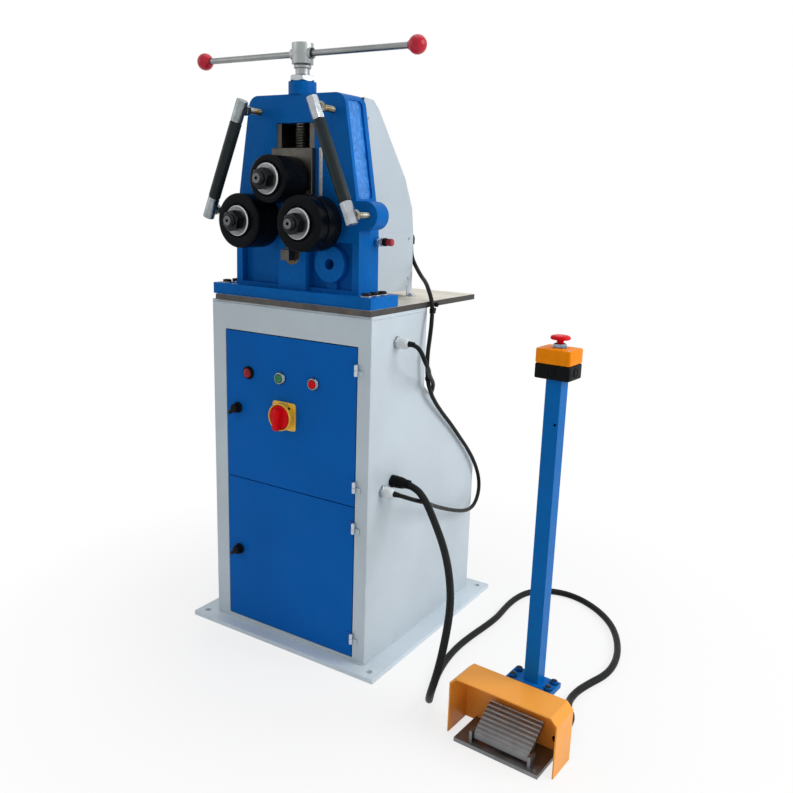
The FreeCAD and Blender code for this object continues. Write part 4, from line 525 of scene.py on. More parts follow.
# Cords: each route starts at the cord's exit; radius in millimetres, the rest in metres.
cords = {
    "coverLead": {
        "node": "cover_lead", "length": 1.295, "radius": 4.5,
        "route": [
            (0.104, 0.071, 0.872), (0.104, 0.071, 0.853), (0.111, 0.071, 0.834),
            (0.126, 0.064, 0.818), (0.147, 0.048, 0.804), (0.171, 0.025, 0.796),
            (0.194, -0.001, 0.785), (0.217, -0.021, 0.758), (0.226, -0.036, 0.727),
            (0.226, -0.041, 0.691), (0.226, -0.049, 0.654), (0.226, -0.048, 0.618),
            (0.225, -0.038, 0.582), (0.222, -0.008, 0.547), (0.219, 0.036, 0.51),
            (0.218, 0.087, 0.47), (0.217, 0.133, 0.43), (0.218, 0.178, 0.389),
            (0.219, 0.215, 0.348), (0.221, 0.238, 0.308), (0.223, 0.242, 0.276),
            (0.225, 0.23, 0.252), (0.228, 0.205, 0.239), (0.231, 0.174, 0.239),
            (0.234, 0.136, 0.248), (0.236, 0.092, 0.263), (0.239, 0.047, 0.281),
            (0.243, 0.002, 0.3), (0.25, -0.042, 0.32), (0.261, -0.082, 0.339),
            (0.274, -0.116, 0.354), (0.283, -0.144, 0.366), (0.274, -0.168, 0.376),
            (0.255, -0.18, 0.383), (0.2355, -0.18, 0.383)]},
    "motorLead": {
        "node": "motor_lead", "length": 0.817, "radius": 4.5,
        "route": [
            (0.2355, -0.142, 0.688), (0.2525, -0.142, 0.687), (0.265, -0.141, 0.675),
            (0.27, -0.137, 0.659), (0.269, -0.122, 0.643), (0.261, -0.101, 0.63),
            (0.25, -0.08, 0.618), (0.2405, -0.056, 0.605), (0.2355, -0.036, 0.59),
            (0.2225, -0.0145, 0.573), (0.2035, 0.013, 0.556), (0.184, 0.051, 0.536),
            (0.172, 0.084, 0.504), (0.164, 0.122, 0.468), (0.158, 0.163, 0.431),
            (0.152, 0.204, 0.393), (0.146, 0.237, 0.354), (0.139, 0.258, 0.313),
            (0.132, 0.268, 0.277), (0.127, 0.278, 0.25), (0.123, 0.29, 0.228),
            (0.121, 0.2995, 0.208), (0.12, 0.304, 0.19), (0.12, 0.302, 0.172),
            (0.12, 0.2925, 0.1575), (0.12, 0.277, 0.15), (0.12, 0.259, 0.15)]},
    "pedalHose": {
        "node": "pedal_hose", "length": 1.903, "radius": 7.5,
        "route": [
            (0.2415, -0.144, 0.396), (0.268, -0.145, 0.393), (0.297, -0.154, 0.373),
            (0.331, -0.174, 0.341), (0.368, -0.2, 0.306), (0.401, -0.234, 0.269),
            (0.426, -0.272, 0.228), (0.436, -0.308, 0.176), (0.433, -0.326, 0.12),
            (0.416, -0.32, 0.066), (0.396, -0.286, 0.026), (0.37, -0.23, 0.008),
            (0.35, -0.172, 0.008), (0.337, -0.112, 0.008), (0.332, -0.05, 0.008),
            (0.335, 0.01, 0.008), (0.342, 0.07, 0.008), (0.346, 0.126, 0.008),
            (0.341, 0.184, 0.008), (0.341, 0.236, 0.008), (0.352, 0.288, 0.008),
            (0.384, 0.324, 0.008), (0.43, 0.34, 0.008), (0.48, 0.332, 0.008),
            (0.534, 0.301, 0.008), (0.58, 0.255, 0.008), (0.612, 0.2, 0.008),
            (0.634, 0.14, 0.008), (0.644, 0.082, 0.008), (0.641, 0.032, 0.008),
            (0.625, -0.014, 0.008), (0.612, -0.06, 0.008), (0.612, -0.106, 0.01),
            (0.626, -0.144, 0.018), (0.643, -0.174, 0.027), (0.6495, -0.20745, 0.03),
            (0.6478, -0.23445, 0.03)]},
}


def makeCord(name, facts):
    curve = bpy.data.curves.new(name, "CURVE")
    curve.dimensions = "3D"
    line = curve.splines.new("NURBS")
    line.points.add(len(facts["route"]) - 1)
    line.points.foreach_set("co", [c for point in facts["route"] for c in (*point, 1)])
    line.order_u = 3
    line.use_endpoint_u = True
    line.use_smooth = True
    line.resolution_u = 6
    curve.bevel_depth = facts["radius"] / 1000
    curve.bevel_resolution = 6
    curve.use_fill_caps = True
    curve.materials.append(looks["blackRubber"])
    lead = bpy.data.objects.new(name, curve)
    bpy.context.scene.collection.objects.link(lead)
    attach(lead, "machine")
    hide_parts(facts["node"])


for name, facts in cords.items():
    makeCord(name, facts)
print("cords made")

# Sheet metal, plates and castings: CAD shapes with edges broken by so many millimetres
edgeBreaks = {
    "base_plate": (1.5, "greyBasePaint"), "cabinet_front": (0.7, "greySheetPaint"),
    "cabinet_sides": (0.7, "greySheetPaint"), "cabinet_back": (0.7, "greySheetPaint"),
    "cabinet_shelf": (0.5, "greySheetPaint"), "frame_casting": (2.6, "blueCastEnamel"),
    "bearing_plate": (0.8, "oiledSteel"), "frame_bushes": (0.5, "bronze"),
    "slide_rails": (0.6, "oiledSteel"), "cover_sides": (0.5, "greyCoverPaint"),
    "cover_wrap": (0.5, "greyCoverPaint"), "motor_stand": (0.8, "greySheetPaint"),
    "hinge_pins": (0.6, "greySheetPaint"), "pedal_base": (1.2, "pedalBaseSteel"),
    "pedal_guard": (1.0, "orangeGuardPaint"), "stop_post": (0.8, "bluePostPaint"),
    "slider_block": (1.6, "oiledSteel"), "slide_keepers": (0.8, "oiledSteel"),
    "pinion_shaft": (0.8, "oiledSteel"), "upper_door": (1.0, "blueDoorPaint"),
    "lower_door": (1.0, "blueDoorPaint"), "deck_plate": (1.0, "deckPlateTop"),
}
carried = {node: softened(node, *facts).data for node, facts in edgeBreaks.items()}
pocket = {"front": -0.21, "rear": -0.145, "low": 0.95, "high": 1.16, "near": 0.08, "far": 0.131,
          "smallest": 0.002}
hinge = {"axisIn": 0.0045, "axisY": -0.239, "radius": 0.0049}
hinge["axisX"] = min(v.co.x for v in carried["hinge_pins"].vertices) + hinge["axisIn"]


def inPocket(face):
    at = face.center
    return (abs(face.normal.x) > 0.8 and pocket["low"] < at.z < pocket["high"]
            and pocket["front"] < at.y < pocket["rear"]
            and pocket["near"] < abs(at.x) < pocket["far"] and face.area > pocket["smallest"])


def onBarrel(face):
    at = face.center
    return math.hypot(at.x - hinge["axisX"], at.y - hinge["axisY"]) < hinge["radius"]


def offTop(face):
    return face.normal.z < 0.5


# The hinges' barrels are bare plated steel, their leaves are painted over. The casting's side
# pockets take the pocket enamel, whose pale mottle is a painted highlight.
for node, finish, chosen in (
        ("frame_casting", "blueCastPocket", inPocket), ("upper_door", "brightZinc", onBarrel),
        ("lower_door", "brightZinc", onBarrel), ("hinge_pins", "brightZinc", onBarrel),
        ("deck_plate", "deckPlateEdge", offTop)):
    carried[node].materials.append(looks[finish])
    second = np.array([chosen(face) for face in carried[node].polygons], np.int32)
    carried[node].polygons.foreach_set("material_index", second)
print("plates and castings made")

# Rolls, nuts and threaded ends
rolls = {
    "top": {"x": 0, "z": 998, "radius": 45, "groove": ()},
    "left": {"x": -75.5, "z": 917, "radius": 53, "groove": (26, 29)},
    "right": {"x": 75.5, "z": 917, "radius": 53, "groove": (26, 29)},
}
rollForm = {"colour": (0.003, 0.004, 0.006), "face": -60, "length": 69, "bore": 17, "deep": 5,
            "chamfer": 2.2, "washer": 29.5, "washerThick": 5, "washerColour": (0.15, 0.155, 0.16),
            "flats": 36, "nutThick": 18, "nutBore": 11.9, "tip": -91, "crest": 12, "pitch": 3,
            "threadDeep": 1.1, "tipColour": (0.10, 0.10, 0.105), "slimmer": 0.12}


def makeRoll(side, facts):
    form, body, radius = rollForm, f"{side}_spin", facts["radius"]
    bore, length, cut = form["bore"], form["length"], form["chamfer"]
    face = spot(facts["x"], form["face"], facts["z"])
    corners = [(bore, 2.2), (32, 2.2), (33.5, 0), (radius - cut, 0), (radius, cut)]
    if facts["groove"]:
        (first, last), floor = facts["groove"], radius - form["deep"]
        corners += [(radius, first), (floor, first), (floor, last), (radius, last)]
    corners += [(radius, length - cut), (radius - cut, length), (bore, length)]
    turnedSteel(f"{side}RollSteel", form["colour"], face, 0.26, metal=0, rings=0.006, gloss=0.05)
    piece(f"{side}Roll", [boredShape(corners, 0.8, face, toBack, 96)],
          f"{side}RollSteel", f"{side}_roll", body)
    rim, thick = form["washer"], form["washerThick"]
    corners = [(12.3, 0), (12.3, -thick + 0.6), (13, -thick), (rim - 2.2, -thick),
               (rim - 0.2, -thick + 1.6), (rim, -thick + 2.4), (rim, 0)]
    # The washer's outer rim gets a painted highlight.
    turnedSteel(f"{side}WasherSteel", form["washerColour"], face, 0.34, rings=0.02, edge=27.8,
                bright=3.2)
    piece(f"{side}Washer", [boredShape(corners, 0.6, face, toBack, 72)],
          f"{side}WasherSteel", body=body)
    nutFace = moved(face, 0, -thick - form["nutThick"])
    piece(f"{side}Nut",
          [hexShape(nutFace, toBack, form["flats"], form["nutThick"], form["nutBore"], 14)],
          "blackenedSteel", f"{side}_roll_nut", body)
    tip = spot(facts["x"], form["tip"], facts["z"])
    piece(f"{side}ShaftThread",
          [threadShape(tip, toBack, form["crest"], form["face"] - form["tip"] - 1, form["pitch"],
                       form["threadDeep"])], "blackenedSteel", body=body)
    turnedSteel(f"{side}ShaftFace", form["tipColour"], face, 0.3, rings=0.02)
    corners = [(0.01, 1.6), (1.6, 1.2), (3.4, -0.2), (9.4, -0.2), (9.9, 0.3), (9.9, 3), (0.01, 3)]
    piece(f"{side}ShaftEnd", [solidShape(corners, 0.4, tip, toBack, 48)],
          f"{side}ShaftFace", body=body)

    def slimThread(points):  # the CAD's plain end draws in under the thread
        ahead = points[:, 1:2] < face[1] - 1e-5
        offset = (points - (face[0], 0, face[2])) * (1, 0, 1)
        return np.where(ahead, points - form["slimmer"] * offset, points)

    softened(f"{side}_shaft", 0, "brightSteel", slimThread)


for side, facts in rolls.items():
    makeRoll(side, facts)
print("rolls made")

# Screw, T head, sliding bar and lock nut
screw = {"behind": 46, "foot": 1049.5, "top": 1217, "crest": 14, "pitch": 5, "deep": 2.0,
         "slimmer": 0.18, "barHeight": 1236, "bar": 6, "reach": 260, "knob": 17, "bossTop": 1184,
         "boltX": 181, "boltsBehind": (18, 46, 74), "boltHeight": 783}


def onScrew(z):
    return spot(0, screw["behind"], z)


def slimScrew(points):
    offset = (points - onScrew(0)) * (1, 1, 0)
    inside = ((np.hypot(offset[:, 0], offset[:, 1]) < 0.0142) & (points[:, 2] > 1.05)
              & (points[:, 2] < screw["top"] / 1000 - 1e-5))
    return np.where(inside[:, None], points - screw["slimmer"] * offset, points)


softened("spindle", 0.9, "brightSteel", slimScrew)
piece("screwThread", [threadShape(onScrew(screw["foot"] + 6), toTop, screw["crest"] - 0.05,
                                  screw["top"] - screw["foot"] - 13, screw["pitch"], screw["deep"],
                                  48)], "oiledSteel", body="screw")
neck = [(0.01, 0), (15.5, 0), (17, 1.5), (17, 6), (14.5, 7.5), (14.5, 9), (0.01, 9)]
piece("screwNeck", [solidShape(neck, 0.8, onScrew(screw["top"] - 8.6), toTop, 56)],
      "brightSteel", body="screw")
bar, reach, barAt = screw["bar"], screw["reach"], onScrew(screw["barHeight"])
rod = [(0.01, -reach - 11), (bar - 0.5, -reach - 11), (bar, -reach - 10), (bar, reach + 10),
       (bar - 0.5, reach + 11), (0.01, reach + 11)]
piece("slidingBar", [solidShape(rod, 0.5, barAt, toRight, 40)], "slidingBarSteel",
      "t_bar", "handle")
sweep = np.linspace(math.radians(3), math.radians(148), 30)
knob = np.stack([screw["knob"] * np.sin(sweep), screw["knob"] * np.cos(sweep)], 1)
knob = np.concatenate([knob, [(8.9, -15.6), (8.4, -16.8), (6.3, -17)]])
for side, name in ((-1, "leftKnob"), (1, "rightKnob")):
    piece(name, [turnedShape(knob, moved(barAt, side * reach), side * toRight, 56)],
          "redKnobResin", body="handle")
piece("lockNut", [hexShape(onScrew(screw["bossTop"]), toTop, 46, 12, 14.2, 8)],
      "zincPlate")
boltSpots = grid(spot(0, 0, screw["boltHeight"]), toRight, (-screw["boltX"], screw["boltX"]),
                 toBack, screw["boltsBehind"])
piece("flangeBolts", capScrews([moved(at, 0, 0, 2) for at in boltSpots], toTop, 9, 5, 10, 3.5),
      "blackenedSteel", "casting_fasteners")
washer = [(8.8, 0), (12.8, 0), (12.8, 2), (8.8, 2)]
piece("flangeWashers", [boredShape(washer, 0.4, at, toTop, 40, 2) for at in boltSpots],
      "zincPlate")
print("screw and head fittings made")

# Side guide rollers
guide = {"top": (91.5, 1129), "low": (175, 936), "behind": -33, "bore": 6.5, "sleeve": 12,
         "long": 157, "gap": 0.6, "block": 44, "blockRadius": 11.6, "headFace": 24, "stud": 6,
         "tip": -39, "nutFlats": 19, "nut": 10, "nutAt": -21.2}


def makeGuide(side, name):
    top, low = (spot(side * x, guide["behind"], z) for x, z in (guide["top"], guide["low"]))
    upward = (top - low) / np.linalg.norm(top - low)
    middle, half, sleeve, bore = (top + low) / 2, guide["long"] / 2, guide["sleeve"], guide["bore"]
    tube = [(bore, -half), (sleeve - 1.2, -half), (sleeve, -half + 1.2), (sleeve, half - 1.2),
            (sleeve - 1.2, half), (bore, half)]
    piece(f"{name}GuideSleeve", [boredShape(tube, 0.6, middle, upward, 56)],
          "blackRollerSleeve", f"{name}_guide_roller", f"{name}_guide_spin")
    length, radius = guide["block"], guide["blockRadius"]
    barrel = [(0.01, 0), (radius - 1.2, 0), (radius, 1.2), (radius, length - 1.2),
              (radius - 1.2, length), (0.01, length)]
    blocks = []
    for way in (upward, -upward):
        start = middle + way * (half + guide["gap"]) / 1000
        blocks.append(solidShape(barrel, 0.6, start, way, 48) if side < 0
                      else hexShape(start, way, radius * 1.78, length, 0, 12))
    studs, nuts = [], []
    for x, _, z in (top, low):
        start, nutStart = (np.array((x, spot(0, guide[key], 0)[1], z)) for key in ("tip", "nutAt"))
        studs.append(threadShape(start, toBack, guide["stud"],
                                 guide["headFace"] - guide["tip"] + 16, 1.75, 0.55, 32))
        nuts.append(hexShape(nutStart, toBack, guide["nutFlats"], guide["nut"], 5.6, 9))
    core = [plainRod(guide["stud"], -half - 3, half + 3, middle, upward)]
    body = f"{name}_guide"
    piece(f"{name}GuideBlocks", blocks, "leftBlockZinc" if side < 0 else "zincPlate",
          f"{name}_guide_bar", body)
    piece(f"{name}GuideCore", core, "zincPlate", body=body)
    piece(f"{name}GuideStuds", studs, "guideStudZinc", body=body)
    piece(f"{name}GuideNuts", nuts, "guideStudZinc", body=body)


makeGuide(-1, "left")
makeGuide(1, "right")
print("guides made")

# Door controls: a lamp and two buttons in a row, the main switch under them
panel = {"face": -0.5, "height": 598, "lamp": -105, "start": -18, "stop": 69.5, "rim": 14,
         "buttonBore": 9.4, "lampBore": 10.4}
switch = {"x": -6.6, "z": 519, "plate": (62, 60), "screws": (26.2, 25.2), "ring": 29.2,
          "ringDeep": 19, "dial": 25, "teeth": 24, "gripLean": 0.12, "gripBack": 20.5}


def onPanel(x):
    return spot(x, panel["face"], panel["height"])


def rimShape(x, bore):
    rim = panel["rim"]
    return boredShape([(bore, 0), (rim, 0), (rim, 2.4), (rim - 2.4, 6.4), (bore + 0.8, 7),
                       (bore, 6)], 0.8, onPanel(x), toFront, 64)


piece("buttonRims", [rimShape(panel[key], panel["buttonBore"]) for key in ("start", "stop")],
      "chromedRim", body="door_upper")
piece("lampRim", [rimShape(panel["lamp"], panel["lampBore"])], "blackPlastic",
      body="door_upper")
arc = np.linspace(0, np.pi / 2, 9)
lamp = np.stack([panel["lampBore"] * np.cos(arc) + 0.01, 5.2 + 4.8 * np.sin(arc)], 1)
piece("lampLens", [turnedShape([(panel["lampBore"], 1), *lamp], onPanel(panel["lamp"]), toFront,
                               56)], "redLampLens", body="door_upper")
button = [(0.01, -12), (8.9, -12), (8.9, 6.6), (8.2, 7.6), (7.1, 7.8), (5, 7.2), (0.01, 6.9)]
for name, colour in (("start", "green"), ("stop", "red")):
    piece(f"{name}Button", [solidShape(button, 0.7, onPanel(panel[name]), toFront, 56)],
          f"{colour}ButtonPlastic", f"{name}_button", name)


def makeSwitch():
    face = spot(switch["x"], panel["face"], switch["z"])
    piece("switchPlate", [pillowShape(face, toFront, toRight, 3, *switch["plate"], 1.2, 11)],
          "yellowPlatePlastic", "door_fittings", "door_upper")
    rim, deep = switch["ring"], switch["ringDeep"]
    ring = [(5, 3), (rim - 0.6, 3), (rim, 4), (rim, deep - 1.4), (rim - 0.8, deep),
            (rim - 2, deep), (rim - 2.9, deep - 1.2), (rim - 2.9, 10), (5, 9.4)]
    piece("switchRing", [boredShape(ring, 0.7, face, toFront, 96)],
          "yellowPlatePlastic", body="door_upper")
    lockWay = (toRight + toTop) / math.sqrt(2)
    lockAt = moved(face, 0, -10.5) + lockWay * (rim - 0.1) / 1000
    piece("padlockHole", [plainRod(3.3, -4, 0.25, lockAt, lockWay)],
          "blackPlastic", body="door_upper")
    x, z = switch["screws"]
    corners = grid(moved(face, 0, -2.6), toRight, (-x, x), toTop, (-z, z))
    piece("switchPlateScrews", capScrews(corners, toFront, 2.6, 0.9, 2.2, 0.6, 24),
          "zincPlate", body="door_upper")
    dial = switch["dial"]
    rows = [(0.985 * dial, 11.4, 0.985), (dial, 12.2, 1), (dial, 17.6, 1), (dial - 1.2, 18.8, 1),
            (17, 20, 0), (6, 20.6, 0)]
    lean = switch["gripLean"]
    gripWay = -toTop * math.cos(lean) - toRight * math.sin(lean)
    along = np.array((0, 2, 8, 22, 40, 46, 48.5)) - switch["gripBack"]
    tall = 0.75 * np.array((4.0, 8.4, 11.2, 12.0, 11.4, 8.8, 4.4))
    grip = loftShape(moved(face, 0, -24.1) + along[:, None] / 1000 * gripWay,
                     (4.4, 6.6, 7.4, 7.6, 7.4, 6.4, 3.8), tall, np.cross(toFront, gripWay), toFront,
                     3.4)
    stem = plainRod(4.4, 2.5, 22.5, face, toFront)
    piece("switchKnob",
          [ribbedShape(face, toFront, rows, ribs(switch["teeth"], 192, 0.9)), grip, stem],
          "redButtonPlastic", "switch_knob", "main_switch")


makeSwitch()

# Behind the door's skin: a nut and a tube that the button runs in, then a block with its terminals
behindDoor = {"skin": 1.0, "flats": 30, "nut": 5, "tube": 12.4, "bore": 9.9, "block": 18.0,
              "wide": 28, "tall": 40, "deep": 12.5, "switchWide": 50, "switchDeep": 29}


# A block on the door's inner side with small screws on its back.
def contactBlock(at, deep, wide, tall, ease, columns, rows):
    places = grid(moved(at, 0, deep - 0.1), toRight, columns, toTop, rows)
    return (pillowShape(at, toBack, toRight, deep, wide, tall, ease, 10),
            capScrews(places, toBack, 3.0, 1.0, 2.6, 0.6, 20))


def makeContacts():
    form = behindDoor
    tubeEnd = form["block"] - form["skin"] + 0.4
    tube = [(form["bore"], 0), (form["tube"], 0), (form["tube"], tubeEnd), (form["bore"], tubeEnd)]
    blocks, guides = [], []
    for x in (panel["lamp"], panel["start"], panel["stop"]):
        skinBack = spot(x, form["skin"], panel["height"])
        guides += [hexShape(skinBack, toBack, form["flats"], form["nut"], form["tube"] - 0.1),
                   turnedShape(tube, skinBack, toBack, 48, closed=True)]
        blocks.append(contactBlock(spot(x, form["block"], panel["height"]), form["deep"],
                                   form["wide"], form["tall"], 1.4, (-7, 7), (-14, 14)))
    wide = form["switchWide"]
    blocks.append(contactBlock(spot(switch["x"], form["skin"], switch["z"]), form["switchDeep"],
                               wide, wide, 2.0, (-16, 0, 16), (-18, 18)))
    piece("contactBlocks", [block for block, _ in blocks], "paleGlandPlastic",
          body="door_upper")
    piece("contactGuides", guides, "blackPlastic", body="door_upper")
    piece("contactScrews", [screw for _, screws in blocks for screw in screws],
          "zincPlate", body="door_upper")


makeContacts()

# Quarter-turn latches
latch = {"x": -137, "upper": 516.7, "lower": 186.6, "face": -0.9, "back": 20.5}


def makeLatch(name):
    face = spot(latch["x"], latch["face"], latch[name])
    hub = solidShape([(0.01, 0), (12.2, 0), (12.2, 2.8), (10.4, 4.4), (9.8, 13), (8.4, 15.6),
                      (0.01, 16)], 0.9, face, toFront, 56)
    wingWay = -toRight * 0.80 - toTop * 0.60
    along = np.array((-7, -4, 4, 14, 20.5, 23.5))
    wing = loftShape(moved(face, 0, -9.8) + along[:, None] / 1000 * wingWay,
                     (3.2, 4.8, 4.6, 4.4, 3.8, 2.2), (3.6, 5.2, 5.4, 5.2, 4.4, 2.6),
                     np.cross(toFront, wingWay), toFront, 3.6, 40)
    tongue = pillowShape(moved(face, 0, latch["back"], -15), toBack, toRight, 3, 14.4, 46, 0.5, 12)
    piece(f"{name}Latch", [hub, wing, plainRod(4.4, -19, 1, face, toFront)],
          "blackPlastic", f"{name}_latch", f"latch_{name}")
    piece(f"{name}LatchTongue", [tongue], "zincPlate", body=f"latch_{name}")


makeLatch("upper")
makeLatch("lower")
print("door fittings made")

# Cable glands; the rows of the domes are (radius, along, share of the ribs)
gland = {"flats": 24, "nut": 6.5, "cable": 4.6, "ribs": 12, "ribDeep": 0.45, "places": (
    (spot(207.5, 92, 688), toRight), (spot(207.5, 54, 383), toRight),
    (spot(120, 465, 150), toBack))}
domeRows = ((4.6, 6.2, 0), (11.6, 6.2, 0), (11.8, 7, 1), (11.8, 17, 1), (11.4, 21, 0.7),
            (10.2, 25, 0.2), (8.6, 27.6, 0), (6.4, 28.6, 0), (4.6, 28.2, 0))
bootCorners = [(4.5, 24), (6.1, 24), (6.0, 29), (5.7, 33), (5.2, 38), (5.0, 41), (4.5, 41)]
piece("glandNuts", [hexShape(*place, gland["flats"], gland["nut"], gland["cable"], 15)
                    for place in gland["places"]], "zincPlate", "cable_glands")
piece("glandDomes", [ribbedShape(*place, domeRows, ribs(gland["ribs"], 96, gland["ribDeep"]), True)
                     for place in gland["places"]], "paleGlandPlastic")
piece("glandBoots", [boredShape(bootCorners, 0.6, *place, 48) for place in gland["places"]],
      "blackRubber")

# Hose fittings; the pedal station stands a little turned, with its own right and back
stationTurn = math.radians(-3.6)
stationRight = np.array((math.cos(stationTurn), math.sin(stationTurn), 0))
stationBack = np.array((-math.sin(stationTurn), math.cos(stationTurn), 0))
stationOrigin = spot(669, -93, 0)
elbow = {"at": spot(104, 294, 890), "start": 3.5, "bend": 7.5, "end": (0, 11, -18),
         "radii": (7.5,) * 10 + (7.2,)}


def stationSpot(u, v, z):
    return stationOrigin + (u * stationRight + v * stationBack + z * toTop) / 1000


# radius = middle + half the depth * cos(2 pi along / pitch), closed by a bore
def corrugated(start, axis, first, last, low, high, pitch, bore):
    along = np.linspace(first, last, int((last - first) / pitch * 8) + 1)
    wave = (low + high) / 2 + (high - low) / 2 * np.cos(2 * np.pi * (along - first) / pitch)
    profile = np.concatenate([np.stack([wave, along], 1), [(bore, last), (bore, first)]])
    return turnedShape(profile, start, axis, 56, closed=True)


# A ring of each row's radius, square to the path, carried round a quarter turn to the foot.
def elbowShape():
    turn = np.linspace(0, np.pi / 2, 9)
    flat, bend = np.zeros(9), elbow["bend"]
    path = np.vstack([(0, 0, 0), np.stack([flat, elbow["start"] + bend * np.sin(turn),
                                           bend * np.cos(turn) - bend], 1), elbow["end"]])
    ways = np.vstack([toBack, np.stack([flat, np.cos(turn), -np.sin(turn)], 1), -toTop])
    u, radii = fullTurn(40)[:, None], np.array(elbow["radii"])[:, None, None]
    ring = np.cos(u) * toRight + np.sin(u) * np.cross(ways, toRight)[:, None]
    return skin(elbow["at"] + (path[:, None] + radii * ring) / 1000)


hosePort, guardPort = spot(207.5, 90, 396), stationSpot(-27, 67, 30)
hoseCup = [(7.6, 9), (12.6, 9), (12.8, 11), (12.2, 24), (10.6, 31), (9.6, 34), (7.6, 34)]
guardCup = [(7.6, 6), (11.3, 6), (11.4, 9), (10.4, 20), (9.3, 24), (7.6, 24)]
piece("hoseFittings", [
    hexShape(hosePort, toRight, 25, 9.5, 7.6, 15), boredShape(hoseCup, 1.0, hosePort, toRight, 56),
    corrugated(hosePort, toRight, 33.5, 42.5, 8.6, 9.8, 4.5, 7.3),
    hexShape(elbow["at"], toBack, 18, 4, 0, 15), elbowShape(),
    hexShape(guardPort, stationBack, 22.5, 7, 7.6, 15),
    boredShape(guardCup, 0.9, guardPort, stationBack, 48),
    corrugated(guardPort, stationBack, 23.5, 40, 8.4, 9.4, 4.2, 7.3),
], "blackPlastic", "hose_fittings")


# A cable tie round a cord: a quadratic spline passes half way between two of its points.
def tieOn(name, first, headWay, stretch):
    a, b = (np.array(point) for point in cords[name]["route"][first:first + 2])
    at, way = (a + b) / 2, (b - a) / np.linalg.norm(b - a)
    radius, half = cords[name]["radius"], 2.2 * stretch
    headAcross = headWay - way * headWay.dot(way)
    headAcross /= np.linalg.norm(headAcross)
    head = at + (headAcross * (radius + 2.2) - way * 3.2) / 1000
    band = [(radius - 0.2, -half), (radius + 1.3, -half), (radius + 1.3, half),
            (radius - 0.2, half)]
    return [boredShape(band, 0.4, at, way, 40, 2),
            pillowShape(head, way, np.cross(way, headAcross), 6.4, 6.2, 4.6, 0.8, 6, 32)]


piece("cableTies", tieOn("coverLead", 11, toRight, 1.6), "blackPlastic")
piece("leadClip", [
    *tieOn("coverLead", 7, toBack, 2.2),
    pillowShape(spot(207.7, 228, 753), toRight, toBack, 8, 13, 8, 1.2, 7, 40),
    capScrewShape(spot(215.5, 230, 753), toRight, 5.2, 5, 3, 1.2, 40),
    pillowShape(spot(218.5, 209, 743.5), toBack, toRight, 16, 3, 7, 0.7, 7, 40),
], "blackPlastic")


# A bead of overlapping weld ripples: radius * (1 + 0.16 cos(2 pi along / pitch)), half sunk.
def weldBead(start, end, radius, pitch, seed):
    length = np.linalg.norm(end - start) * 1000
    along = np.linspace(0, length, int(length / 0.8))
    drift = np.sin(along / 17 + seed) * 0.35 + np.sin(along / 5.3 + 2 * seed) * 0.2
    size = radius * (1 + 0.16 * np.cos(2 * np.pi * along / pitch)) + drift
    ends = np.sqrt(np.clip(np.minimum(along, length - along) / 3, 0.02, 1))
    return turnedShape(np.stack([size * ends, along], 1), start, (end - start) / length * 1000, 16)


weld = {"radius": 2.4, "pitch": 3.2, "seams": (
    ((-205, 1.2, 742), (205, 1.2, 742)), ((206.2, 4, 742), (206.2, 205, 742)),
    ((-206.2, 4, 742), (-206.2, 205, 742)), ((-205, 206.8, 742), (205, 206.8, 742)),
    ((-206, -0.5, 11), (206, -0.5, 11)), ((208, 3, 11), (208, 462, 11)),
    ((-208, 3, 11), (-208, 462, 11)), ((-205, 465.5, 11), (205, 465.5, 11)))}
piece("weldBeads", [weldBead(spot(*a), spot(*b), weld["radius"], weld["pitch"], seed)
                    for seed, (a, b) in enumerate(weld["seams"])], "greySheetPaint")

# Scale beside the window: longer marks at every fifth and tenth step
scale = {"foot": spot(64, 23.5, 969), "first": spot(60.8, 22.94, 971.5), "step": 2, "marks": 43,
         "wide": {10: 5.2, 5: 4.0, 1: 2.6}}
piece("scaleStrip", [pillowShape(scale["foot"], toTop, toRight, 91, 8, 1, 0.35, 12)],
      "whitePlastic", "scale_strip")
marks = []
for i in range(scale["marks"]):
    wide = next(size for every, size in scale["wide"].items() if i % every == 0)
    marks.append(pillowShape(moved(scale["first"], 0, 0, scale["step"] * i), toRight, toTop, wide,
                             0.55, 0.12, 0.03, 12, 16))
piece("scaleMarks", marks, "blackPlastic")

# Lubricator on the frame's right side
lube = spot(158.0, 84, 885)
lubeNeck = [(0.01, 8), (5, 8), (5, 13), (9.6, 13), (9.6, 14.6), (6, 14.6), (6, 16.8), (0.01, 16.8)]
lubeRing = [(0.01, 16.6), (8, 16.6), (8, 23.2), (6.4, 24.2), (6.4, 25.8), (0.01, 25.8)]
capRows = ((6.2, 25.4, 0), (7.0, 26.2, 1), (7.1, 35.6, 1), (6.4, 37.4, 0), (5.0, 38, 0))
piece("lubricatorBody", [hexShape(moved(lube, 0.6), toRight, 16, 8, 0, 10),
                         solidShape(lubeNeck, 0.4, lube, toRight, 48)], "brightZinc",
      "lubricator")
piece("lubricatorRing", [solidShape(lubeRing, 0.7, lube, toRight, 56)], "blackPlastic")
piece("lubricatorCap", [ribbedShape(lube, toRight, capRows, 0.35 * (np.arange(120) % 3 == 0))],
      "oilerCapRed")
print("glands, ties, welds and scale made")

# Pedal station
pedal = {"left": -157, "wide": 110, "front": -6, "rear": 54, "low": 15, "high": 56,
         "thickFront": 13.6, "thickRear": 9.0, "rib": 0.9, "ribPitch": 7.5}


